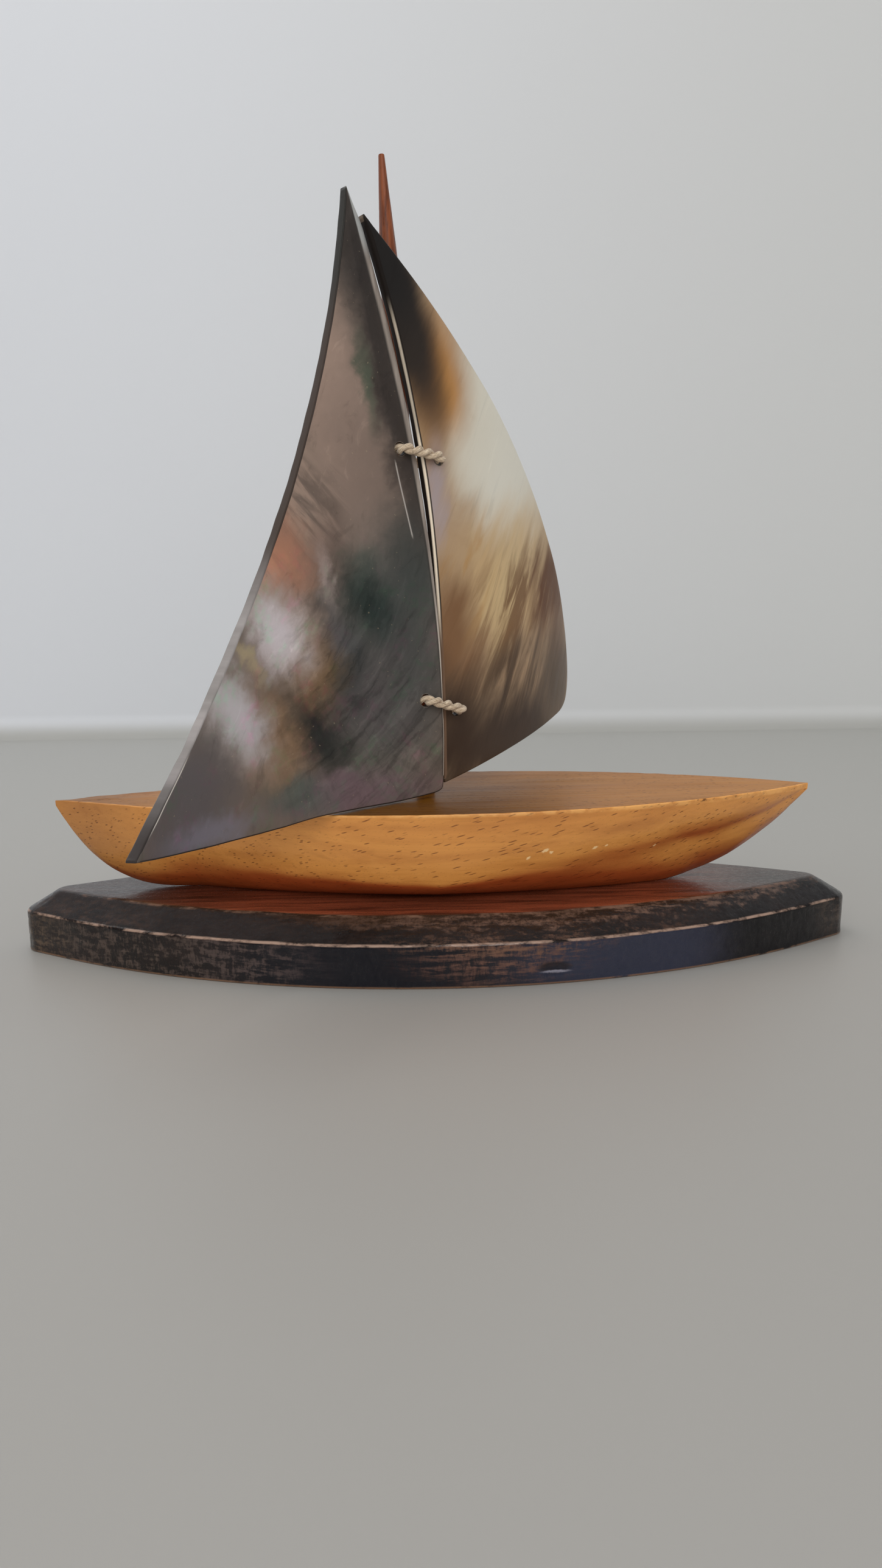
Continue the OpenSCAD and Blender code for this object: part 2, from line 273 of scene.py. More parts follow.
def outline_distance(points, outline):
    """Distance from each point to the outline, and the index of the nearest stretch."""
    edge = np.roll(outline, -1, 0) - outline
    length2 = (edge ** 2).sum(1) + 1e-12
    best, nearest = np.full(len(points), 1e9), np.zeros(len(points), int)
    for i in range(0, len(points), 800):            # in blocks, to save memory
        offset = points[i:i + 800, None, :] - outline[None]
        t = np.clip((offset * edge).sum(2) / length2, 0, 1)
        gap = np.linalg.norm(offset - t[..., None] * edge, axis=2)
        best[i:i + 800] = gap.min(1)
        nearest[i:i + 800] = gap.argmin(1)
    return best, nearest


def rounded(outline, sigma):
    """Even points round a closed outline, corners softened over about sigma."""
    fine, step = 0.25, CELL * 0.7
    length = np.linalg.norm(np.roll(outline, -1, 0) - outline, axis=1).sum()
    loop = resample(outline, int(round(length / fine)), True)
    loop = blur_loop(loop, 12, fine, sigma)
    return resample(loop, int(round(len(loop) * fine / step)), True)


def fill(loop, holes, cell, seed):
    """Triangulates the inside of a loop, leaving the hole loops open.
    The first vertices are the loop, then the holes."""
    rng = np.random.default_rng(seed)
    low, high = loop.min(0), loop.max(0)
    gx, gy = np.meshgrid(np.arange(low[0], high[0], cell), np.arange(low[1], high[1], cell * 0.866))
    shifted = gx + (np.arange(gx.shape[0]) % 2)[:, None] * cell * 0.5
    grid = np.stack([shifted, gy], 2).reshape(-1, 2)
    grid = grid + rng.uniform(-0.12, 0.12, grid.shape) * cell
    grid = grid[in_outline(grid, loop)]
    grid = grid[outline_distance(grid, loop)[0] > cell * 0.6]
    for hole in holes:
        c = hole.mean(0)
        clear = np.linalg.norm(hole[0] - c) + cell * 0.45
        grid = grid[np.linalg.norm(grid - c, axis=1) > clear]
    rings = [loop] + list(holes)
    edges, base = [], 0
    for ring in rings:
        edges += [(base + i, base + (i + 1) % len(ring)) for i in range(len(ring))]
        base += len(ring)
    points = np.vstack(rings + [grid])
    flat = [Vector((float(a), float(b))) for a, b in points]
    result = delaunay_2d_cdt(flat, edges, [], 0, 1e-7)
    source = [(o[0] if o else -1) for o in result[3]]
    owner = np.concatenate([np.full(len(r), k) for k, r in enumerate(rings)]
                           + [np.full(len(grid), -1)])
    placed = points.astype(np.float32).astype(float)
    after = np.roll(loop, -1, 0)
    way = np.sign((loop[:, 0] * after[:, 1] - after[:, 0] * loop[:, 1]).sum())

    def inside(tri):
        """A triangle with all corners on the loop is inside if it turns the way the loop does."""
        owners = {owner[i] for i in tri}
        if len(owners) > 1 or -1 in owners:
            return True
        if owners != {0}:
            return False
        a, b, c = (placed[i] for i in sorted(tri))
        return ((b[0] - a[0]) * (c[1] - a[1]) - (b[1] - a[1]) * (c[0] - a[0])) * way > 0

    tris = [tuple(source[i] for i in face) for face in result[2]]
    return points, [t for t in tris if -1 not in t and inside(t)]


def nearest_side(points, stretches):
    """Number, from 1, of the stretch of outline nearest each point."""
    gaps = [[np.min(np.linalg.norm(line - p, axis=1)) for p in points] for line in stretches]
    return np.argmin(gaps, 0) + 1.0


# ------------------------------------------------------------------ sails
class Shell:
    """Face of a leaning round cylinder: y runs across it, z up it, depth into the plate."""

    def __init__(self, centre, tilt, heading, radius, into):
        self.centre = np.array(centre, float)
        self.turn = rotation(1, tilt[1]) @ rotation(0, tilt[0]) @ rotation(2, heading)
        self.radius = radius
        self.into = into                            # +1 if depth leads away from the axis

    def at(self, y, z, depth=0.0):
        y, z = np.asarray(y, float), np.asarray(z, float)
        angle = np.arcsin(y / self.radius)
        r = self.radius + self.into * np.asarray(depth, float)
        local = np.stack([r * np.cos(angle), r * np.sin(angle), z + 0 * y], -1)
        return self.centre + local @ self.turn.T

    def inward(self, y):
        """Direction into the plate."""
        a = math.asin(y / self.radius)
        return self.into * (self.turn @ np.array([math.cos(a), math.sin(a), 0]))


JIB = Shell([81.7, -130.5, 100], (-2.7, -1.65), 150, 150.0, +1)
MAIN = Shell([-92.25, 102.2, 100], (-1.9, -2.3), -35, 140.0, -1)


def rounding_limit(outline, tangent, normal):
    """How much room each edge point has: the local width, and the outline's own radius."""
    count = len(outline)
    edge = np.roll(outline, -1, 0) - outline
    width = np.full(count, 1e3)
    for i in range(count):
        start, d = outline[i] - normal[i] * 0.05, -normal[i]
        cross = d[0] * edge[:, 1] - d[1] * edge[:, 0]
        cross[np.abs(cross) < 1e-9] = 1e-9
        gap = outline - start
        t = (gap[:, 0] * edge[:, 1] - gap[:, 1] * edge[:, 0]) / cross
        u = (gap[:, 0] * d[1] - gap[:, 1] * d[0]) / cross
        hit = (t > 0.02) & (u >= 0) & (u <= 1)
        if hit.any():
            width[i] = t[hit].min()
    limit = np.minimum(width, np.minimum(np.roll(width, 1), np.roll(width, -1)))
    turn = np.arccos(np.clip((tangent * np.roll(tangent, 1, 0)).sum(1), -1, 1))
    radius = np.linalg.norm(outline - np.roll(outline, 1, 0), axis=1) / np.maximum(turn, 1e-3)
    for _ in range(2):
        radius = np.minimum(radius, np.minimum(np.roll(radius, 1), np.roll(radius, -1)))
    return np.minimum(limit, 1.6 * radius)


def hole_rows(y, z):
    """Rings down a drilled hole with softened rims: (points, depth)."""
    t, rim = circle_angles(26), 0.3
    ring = np.stack([np.cos(t), np.sin(t)], 1)
    quarter = [math.radians(a) for a in (0, 30, 60, 90)]
    sizes = [(HOLE_R + rim * (1 - math.sin(a)), rim * (1 - math.cos(a))) for a in quarter]
    sizes.append((HOLE_R, SAIL_THICK / 2))
    sizes += [(HOLE_R + rim * (1 - math.cos(a)), SAIL_THICK - rim * (1 - math.sin(a)))
              for a in quarter]
    return [(np.array([y, z]) + ring * r, depth) for r, depth in sizes]


def sail(name, shell, outline, run, dep, side, holes, front, rear, seed):
    """A curved plate with rounded edges, drilled holes and gently uneven faces.
    outline: closed loop in (y, z); run and dep: how far its front edge is rounded over,
    sideways and deep; side: stretch number per point; front and rear: raised relief."""
    run, dep = (sum(w * np.roll(v, i - 2) for i, w in enumerate(np.array([1, 2, 3, 2, 1]) / 9.0))
                for v in (run, dep))
    count = len(outline)
    y, z = outline.T
    if 0.5 * (y * np.roll(z, -1) - np.roll(y, -1) * z).sum() < 0:
        outline, run, dep, side = outline[::-1], run[::-1], dep[::-1], side[::-1]
    tangent = np.roll(outline, -1, 0) - np.roll(outline, 1, 0)
    tangent /= np.linalg.norm(tangent, axis=1)[:, None]
    normal = np.stack([tangent[:, 1], -tangent[:, 0]], 1)
    room = 0.38 * rounding_limit(outline, tangent, normal)
    run = np.minimum(run, room)
    rear_dep = 0.4
    rear_run = np.minimum(rear_dep, room)

    # rings over the edge: outline, depth, and an edge number (0..1 front rounding, 2..3 rear)
    rings, steps = [], 6
    for k in range(steps + 1):
        a = k / steps * math.pi / 2
        rings.append((outline - normal * (run * (1 - math.sin(a)))[:, None],
                      dep * (1 - math.cos(a)), k / steps))
    rings.append((outline, dep + (SAIL_THICK - rear_dep - dep) * 0.5, 1.5))
    for k in range(steps + 1):
        a = k / steps * math.pi / 2
        rings.append((outline - normal * (rear_run * (1 - math.cos(a)))[:, None],
                      SAIL_THICK - rear_dep * (1 - math.sin(a)), 2 + k / steps))
    drilled = [hole_rows(*hole) for hole in holes]
    first, last = rings[0][0], rings[-1][0]
    front_points, front_tris = fill(first, [rows[0][0] for rows in drilled], CELL, seed)
    rear_points, rear_tris = fill(last, [rows[-1][0] for rows in drilled], CELL, seed + 1)

    flat, data, faces = [], [], []

    def add(points, *values):
        """Adds points with their depth, edge and side; returns the first one's index."""
        start = sum(len(x) for x in flat)
        flat.append(np.asarray(points, float))
        data.append([np.broadcast_to(np.asarray(v, float), (len(points),)) for v in values])
        return start

    gap, near = outline_distance(front_points, first)
    gap[:count] = 0
    front_start = add(front_points, 0, -gap, side[near])
    faces += [tuple(front_start + i for i in t) for t in front_tris]
    above = front_start
    for k, (points, depth, edge) in enumerate(rings[1:], 1):
        if k == len(rings) - 1:
            gap, near = outline_distance(rear_points, last)
            gap[:count] = 0
            below = rear_start = add(rear_points, SAIL_THICK, 3 + gap, side[near])
            faces += [tuple(below + i for i in t[::-1]) for t in rear_tris]
        else:
            below = add(points, depth, edge, side)
        for i in range(count):
            j = (i + 1) % count
            faces.append((above + i, above + j, below + j, below + i))
        above = below
    top, bottom = front_start + count, rear_start + count
    for rows in drilled:
        sides = len(rows[0][0])
        above = top
        for k in range(1, len(rows)):
            below = bottom if k == len(rows) - 1 else add(*rows[k], 1.2, 9)
            for i in range(sides):
                j = (i + 1) % sides
                faces.append((above + j, above + i, below + i, below + j))
            above = below
        top += sides
        bottom += sides

    flat = np.vstack(flat)
    depth, edge, side = (np.concatenate(column) for column in zip(*data))
    share = depth / SAIL_THICK
    uneven = depth + front(flat) * (1 - share) - rear(flat) * share
    ob = mesh_object(name, shell.at(flat[:, 0], flat[:, 1], uneven), faces, weld=False)
    set_attribute(ob, "loc", np.c_[flat, 0 * depth])
    set_attribute(ob, "edge", edge)
    set_attribute(ob, "side", side)
    set_attribute(ob, "depth", depth)
    return ob


def lip(z):
    """Width of the rounded strip that the jib's seam side gains towards the peak."""
    return 2.3 * np.clip((z + 30) / 80, 0, 1) * np.clip((83.5 - z) / 6, 0, 1)


# the jib's foot, (y, z) from the luff to the seam
JIB_FOOT = [
    (24, -52.5), (18, -53.1), (12, -53.5), (0, -54.0), (-14, -54.05), (-22, -53.85),
    (-28, -53.45), (-32, -53.2), (-36, -53.12), (-42.8, -53.07), (-49.6, -53.03), (-56.2, -52.94),
    (-62.8, -52.45), (-66.2, -52.05), (-67.5, -51.6), (-68.1, -50.9), (-68.2, -49.5)]


def build_jib():
    u = np.linspace(0, 1, 60)
    luff = cubic([JIB_PEAK, (-41.5, 28), (-14.5, -19), JIB_FOOT[0]], u)
    foot = resample(JIB_FOOT, 120)
    seam = cubic([JIB_FOOT[-1], (-71.4, -4.5), (-61.7, 46.5), JIB_PEAK], u)
    seam[:, 0] -= lip(seam[:, 1])
    outline = rounded(np.vstack([luff[:-1], foot[:-1], seam[:-1]]), 0.2)
    side = nearest_side(outline, (luff, foot, seam))
    width = lip(outline[:, 1])
    run = np.where(side == 3, 0.28 + width, 0.38)
    dep = np.where(side == 3, 0.3 + 0.5 * width, 0.34)

    def front(q):
        y, z = q[:, 0], q[:, 1]
        crease = CREASE_BEND * (z - CREASE_MID_Z) ** 2 + CREASE_SLOPE * z + CREASE_Y
        past = smooth(crease - y, -1.5, 5.5) * smooth(z, -25, 10)
        return 0.34 * past + 0.10 * wobble(q, 26, 3) + 0.035 * wobble(q, 8, 4)

    def rear(q):
        return 0.14 * wobble(q, 20, 5) + 0.07 * wobble(q, 6.5, 6)

    return sail("jib_shell_plate", JIB, outline, run, dep, side, JIB_HOLES, front, rear, 11)


def build_main():
    u = np.linspace(0, 1, 60)
    peak, belly, clew, tack = (-48.4, 64.1), (37.5, -40), (25, -54.2), (-33.9, -65.7)
    leech = np.vstack([cubic([peak, (-8.5, 26.9), (34.7, -7.8), belly], u)[:-1],
                       cubic([belly, (38, -49), (34, -52.6), clew], u[::3])])
    foot = cubic([clew, (4, -57.8), (-18, -62.5), tack], u)
    luff = cubic([tack, (-31.3, -18.5), (-31.4, 12.5), peak], u)
    outline = rounded(np.vstack([leech[:-1], foot[:-1], luff[:-1]]), 0.25)
    side = nearest_side(outline, (leech, foot, luff))
    run, dep = np.where(side == 3, 0.75, 0.5), np.where(side == 3, 0.6, 0.5)

    def front(q):
        return 0.12 * wobble(q, 30, 13) + 0.02 * wobble(q, 9, 14)

    def rear(q):
        return 0.12 * wobble(q, 22, 15) + 0.05 * wobble(q, 7, 16)

    return sail("mainsail_shell_plate", MAIN, outline, run, dep, side, MAIN_HOLES, front, rear, 21)


# ------------------------------------------------------------------ hull
def keel_height(t):
    """Height of the keel at t, from -1 at the bow to 1 at the stern."""
    x = t * HULL_HALF_LENGTH
    bow = max(0.0, (-x - 0.632 * HULL_HALF_LENGTH) / (0.368 * HULL_HALF_LENGTH))
    stern = max(0.0, (x - 0.579 * HULL_HALF_LENGTH) / (0.421 * HULL_HALF_LENGTH))
    rise = (HULL_HEIGHT - 1.3) * (bow ** 3.1 + stern ** 1.95)
    return PLINTH_TOP + rise + (TRIM * stern ** 2 if t > 0 else -TRIM * bow ** 2)


def hull_section(t):
    """Half cross-section at t as (y, z), from the keel's middle up to the deck's middle."""
    if t >= 0:
        fullness = np.power(1 - np.power(t, 2.2), 0.95)
    else:
        fullness = np.power(1 - t * t, 1.2)
    w = max(0.3, float(HULL_HALF_WIDTH * fullness))
    from_mid = (t - 0.035) / 0.66
    b = min(max(0.12, KEEL_WIDTH / 2 * (1 - from_mid * from_mid)), 0.9 * w)
    z0, z1 = keel_height(t), DECK_Z + TRIM * t
    chine = 0.19 + 0.33 * min(1, max(0, t / 0.62)) + 0.16 * min(1, max(0, -t / 0.6))
    yc, zc = b + (w - b) * (0.58 + 0.12 * (1 - abs(t))), z0 + (z1 - z0) * chine
    # shares of the way (y, z) from keel to chine, then from chine to deck
    lower = [(b + (yc - b) * y, z0 + (zc - z0) * z) for y, z in ((0.36, 0.22), (0.70, 0.56))]
    upper = [(yc + (w - yc) * y, zc + (z1 - zc) * z)
             for y, z in ((0.34, 0.20), (0.62, 0.43), (0.84, 0.69))]
    corners = np.array([(b, z0), *lower, (yc, zc), *upper, (w, z1)])
    u = np.linspace(0, 7, 43)
    side = np.stack([np.interp(u, np.arange(8), corners[:, k]) for k in (0, 1)], 1)
    for _ in range(5):
        side[1:-1] = 0.25 * side[:-2] + 0.5 * side[1:-1] + 0.25 * side[2:]
    # rounded arris at the deck's edge
    radius, corner = min(0.55, 0.3 * w), side[-1].copy()
    start = corner + unit(side[-4] - corner) * radius
    end = corner + np.array([-radius, 0.0])
    side = np.vstack([side[:41], [start]])
    if np.linalg.norm(side[40] - corner) < radius * 1.15:
        side[40] = 0.5 * (side[39] + start)
    arc = quadratic(start, corner, end, np.linspace(0, 1, 6)[1:, None])
    keel = np.stack([np.linspace(0, b, 5)[:-1], np.full(4, z0)], 1)
    deck_y = end[0] * np.cos(np.linspace(0, 90, 12)[1:] * math.pi / 180)
    deck = np.stack([deck_y, np.full(11, z1)], 1)
    deck[-1, 0] = 0
    return np.vstack([keel, side, arc, deck])


def build_hull():
    stations = 170
    rings = []
    for i in range(stations + 1):
        t = math.sin(math.radians(90 * (-1 + 2 * i / stations))) * 0.9999
        half = hull_section(t)
        full = np.vstack([half, (half[1:-1] * [-1, 1])[::-1]])
        rings.append(np.c_[np.full(len(full), t * HULL_HALF_LENGTH), full])
    sides = len(rings[0])
    verts = np.vstack(rings)
    # carved unevenness, none on the flat keel or on the deck
    outward = verts - np.array([0, 0, PLINTH_TOP + HULL_HEIGHT * 0.75])
    outward[:, 0] = 0
    outward = outward / np.maximum(np.linalg.norm(outward, axis=1)[:, None], 1e-6)
    above_keel = smooth(verts[:, 2], PLINTH_TOP + 0.2, PLINTH_TOP + 2.5)
    on_deck = smooth(verts[:, 2], DECK_Z - 0.8, DECK_Z + 0.2)
    relief = (0.13 * wobble(verts * [0.6, 1, 1], 17, 31)
              + 0.05 * wobble(verts * [0.5, 1, 1], 6, 32)) * above_keel * (1 - on_deck)
    verts = verts + outward * relief[:, None]
    deck_line = DECK_Z + TRIM * verts[:, 0] / HULL_HALF_LENGTH
    top = np.abs(verts[:, 2] - deck_line) < 0.02
    verts[top, 2] -= 0.04 + 0.04 * wobble(verts[top] * [1, 1, 0], 22, 33)
    # worn nicks along the deck's edge
    rim = (np.abs(verts[:, 2] - DECK_Z) < 1.2) & ~top
    verts[rim, 2] -= 0.10 * np.clip(wobble(verts[rim], 5, 34), 0, 1)
    ob = mesh_object("hull_carved", verts, skin(stations + 1, sides))
    mast_hole = rod(MAST_FOOT - MAST_DIR * 15, MAST_DIR, MAST_R + 0.05, 25)
    screw_holes = [rod(np.array([x, 0, PLINTH_TOP - 2]), UP, 1.8, 19.3)
                   for x in (-SCREW_X, SCREW_X)]
    cut(ob, [mast_hole] + screw_holes)
    shade(ob, 50)
    return ob


# ------------------------------------------------------------------ plinth
def lens(half_length, half_width, nose):
    """Points of two crossing arcs with a round nose at each end."""
    tip = half_length + nose * 0.58
    reach = half_length - nose
    radius = (tip * tip + half_width * half_width) / (2 * half_width)
    x = np.linspace(-reach, reach, 1401)
    y = np.sqrt(radius * radius - x * x) - (radius - half_width)
    t = np.linspace(-180, 180, 1441) * math.pi / 180
    noses = [np.c_[s * reach + nose * np.cos(t), nose * np.sin(t)] for s in (-1, 1)]
    return np.vstack([np.c_[x, y], np.c_[x, -y]] + noses)


def build_plinth():
    arc_steps, nose_steps = ((200, 30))
    half_arc = 38.2
    # outward directions (from, to, steps): a long arc and a nose, twice
    fans = [(-90 - half_arc, -90 + half_arc, arc_steps), (-90 + half_arc, 90 - half_arc, nose_steps),
            (90 - half_arc, 90 + half_arc, arc_steps), (90 + half_arc, 270 - half_arc, nose_steps)]
    angles = np.radians(np.concatenate([np.linspace(*fan, endpoint=False) for fan in fans]))
    normal = np.stack([np.cos(angles), np.sin(angles)], 1)
    outer, inner = (points[(points @ normal.T).argmax(0)] for points in (
        lens(PLINTH_HALF_LENGTH, PLINTH_HALF_WIDTH, PLINTH_NOSE_R),
        lens(PLINTH_HALF_LENGTH - CHAMFER_RUN, PLINTH_HALF_WIDTH - CHAMFER_RUN,
             PLINTH_NOSE_R * 0.5)))
    kernel = [0.1, 0.2, 0.4, 0.2, 0.1]
    outer = np.stack([np.convolve(np.r_[line[-2:], line, line[:2]], kernel, "valid")
                      for line in outer.T], 1)

    rows = []                                       # (outline, height), from the floor up

    def chamfer(f):
        return outer + (inner - outer) * f, SHOULDER_Z + CHAMFER_HEIGHT * f

    def arris(start, corner, end):
        for f in np.linspace(0, 1, 6):
            rows.append([quadratic(a, b, c, f) for a, b, c in zip(start, corner, end)])

    for f in (0.0, 0.35, 0.7, 1.0):
        a = f * math.pi / 2
        rows.append((outer - normal * (0.5 * (1 - math.sin(a))), 0.5 * (1 - math.cos(a))))
    for f in np.linspace(0, 1, 16)[1:-1]:
        rows.append((outer, 0.5 + (SHOULDER_Z - 1.3) * f))
    arris((outer, SHOULDER_Z - 0.8), (outer, SHOULDER_Z), chamfer(0.085))
    rows += [chamfer(f) for f in np.linspace(0.085, 0.93, 7)[1:-1]]
    top_edge = inner - normal * 0.7
    arris(chamfer(0.93), (inner, PLINTH_TOP), (top_edge, PLINTH_TOP))
    for f in (0.9, 0.78, 0.64, 0.5, 0.36, 0.22, 0.1, 0.0):
        rows.append((top_edge * [0.985 + 0.015 * f, f], PLINTH_TOP))
    sides = len(angles)
    verts = np.vstack([np.c_[outline, np.full(sides, z)] for outline, z in rows])
    verts[:, 0] += PLINTH_X

    level = verts[:, 2]
    on_side = smooth(level, 0.2, 1.5) * (1 - smooth(level, PLINTH_TOP - 1.5, PLINTH_TOP - 0.3))
    waves = (0.16 * wobble(verts * [1, 1, 0.7], 24, 41) + 0.05 * wobble(verts, 5, 42)) * on_side
    pits = 0.22 * np.clip(wobble(verts * [1, 1, 1.2], 3.4, 45) - 0.55, 0, 1) * on_side
    # one long dent low on the near side
    dent = 0.5 * np.exp(-((verts[:, 0] - 25.4) / 3.6) ** 4
                        - ((level - 3.9) / 1.25) ** 4) * (verts[:, 1] < -10)
    verts[:, :2] += np.tile(normal, (len(rows), 1)) * (waves - pits - dent)[:, None]
    on_top = smooth(level, PLINTH_TOP - 0.6, PLINTH_TOP - 0.05)
    verts[:, 2] += on_top * (0.05 * wobble(verts * [1, 1, 0], 16, 43) - 0.06)
    at_shoulder = np.exp(-((level - SHOULDER_Z) / 0.8) ** 2)
    verts[:, 2] -= at_shoulder * 0.16 * np.clip(wobble(verts * [1, 1, 0], 4.5, 44), 0, 1)
    ob = mesh_object("plinth_stained", verts, skin(len(rows), sides, caps=1))
    # screw holes: start height, radius, length, end radius
    steps = [(-1, 1.95, PLINTH_TOP + 3, 1.95), (-1, 3.75, 2.5, 3.75), (1.5, 3.75, 1.8, 1.95)]
    cut(ob, [rod(np.array([x, 0, z]), UP, radius, length, end)
             for x in (-SCREW_X, SCREW_X) for z, radius, length, end in steps])
    shade(ob, 50)
    return ob


# ------------------------------------------------------------------ mast
def build_mast():
    sides, shoulder = 26, MAST_HEIGHT - MAST_TAPER
    heights = np.r_[-MAST_SUNK, -14.4, np.linspace(-13.8, shoulder, 100),
                    np.linspace(shoulder, MAST_HEIGHT - 0.25, 46)[1:],
                    MAST_HEIGHT - 0.05, MAST_HEIGHT]
    radii = np.interp(heights, [-MAST_SUNK, -14.3, 0, shoulder, MAST_HEIGHT],
                      [MAST_R - 0.45, MAST_R, MAST_R, MAST_R, MAST_TIP_R])
    radii[-2:] = MAST_TIP_R * 0.9, MAST_TIP_R * 0.72
    across = unit(np.cross([0, 1, 0], MAST_DIR))
    other = np.cross(MAST_DIR, across)
    t = circle_angles(sides)
    verts = []
    for h, radius in zip(heights, radii):
        place = np.stack([np.cos(t), np.sin(t), np.full(sides, h * 0.11)], 1)
        free = float(smooth(h, 1, 8))
        tapered = float(smooth(h, shoulder - 14, shoulder + 4))
        dips = free * (0.5 + 0.5 * wobble(place, 2.2, 51, 8))
        facets = (tapered * 0.06 * (0.5 + 0.5 * np.cos(5 * t + h * 0.05))
                  * (0.5 + 0.5 * wobble(place * [1, 1, 1.6], 1.6, 52, 8)))
        ring = np.cos(t)[:, None] * across + np.sin(t)[:, None] * other
        verts.append(MAST_FOOT + MAST_DIR * h + (radius * (1 - 0.02 * dips - facets))[:, None] * ring)
    return mesh_object("mast_whittled", np.vstack(verts), skin(len(heights), sides), 40)


# ------------------------------------------------------------------ lashings
def fillet(before, corner, after, radius, steps):
    u, v = unit(before - corner), unit(after - corner)
    half = math.acos(u @ v) / 2
    reach = radius / math.tan(half)
    centre = corner + unit(u + v) * radius / math.sin(half)
    start, end = corner + u * reach - centre, corner + v * reach - centre
    sweep = math.acos((start @ end) / (radius * radius))
    return [centre + (start * math.sin(sweep * (1 - i / steps))
                      + end * math.sin(sweep * i / steps)) / math.sin(sweep)
            for i in range(steps + 1)]


def lashing_path(index):
    """Closed centre line through both sails' holes and behind the mast,
    the middle of its run behind the mast, and the direction back."""
    half = SAIL_THICK / 2
    ends = []
    for shell, hole, lift in zip((JIB, MAIN), (JIB_HOLES[index], MAIN_HOLES[index]),
                                 CORD_LIFT[index]):
        ends.append((shell.at(*hole), shell.inward(hole[0]), CORD / 2 + lift))
    (jib_face, jib_in, jib_gap), (main_face, main_in, main_gap) = ends
    z = (jib_face[2] + main_face[2]) / 2
    mast = np.array([MAST_FOOT[0] - (z - MAST_FOOT[2]) * math.tan(LEAN), MAST_FOOT[1], z])
    span = (main_face - main_in * main_gap) - (jib_face - jib_in * jib_gap)
    across = unit([span[0], span[1], 0])
    back = np.array([-across[1], across[0], 0])
    behind = mast + back * (MAST_R + CORD / 2 + 1.5)
    reach = MAST_R + CORD / 2 + 0.3

    def turn_point(face, inward, limit, value):
        """Where the hole's axis meets the plane behind the mast, kept clear of the mast."""
        hit = face + inward * (((behind - face) @ back) / (inward @ back))
        return (behind + across * limit((hit - behind) @ across, value)
                + np.array([0, 0, hit[2] - behind[2]]))

    jib_turn = turn_point(jib_face, jib_in, min, -reach)
    main_turn = turn_point(main_face, main_in, max, reach)
    jib_mid, main_mid = jib_face + jib_in * half, main_face + main_in * half
    corners = [jib_mid + unit(jib_mid - jib_turn) * (jib_gap + half), jib_turn, main_turn,
               main_mid + unit(main_mid - main_turn) * (main_gap + half)]
    path = []
    for i, (radius, steps) in enumerate(((1.75, 14), (3.4, 16), (3.4, 16), (1.75, 14))):
        path += fillet(corners[i - 1], corners[i], corners[(i + 1) % 4], radius, steps)
    path = resample(np.array(path), 800, True)
    return blur_loop(path, 9, 1, 4.0), (jib_turn + main_turn) / 2, back


def fibre(root, way, length, droop, radius, thinning, steps):
    f = np.linspace(0, 1, steps)[:, None]
    line = root + way * f * length + np.array([0, 0, -droop]) * f * f
    return tube(line, radius - thinning * f[:, 0], 5)


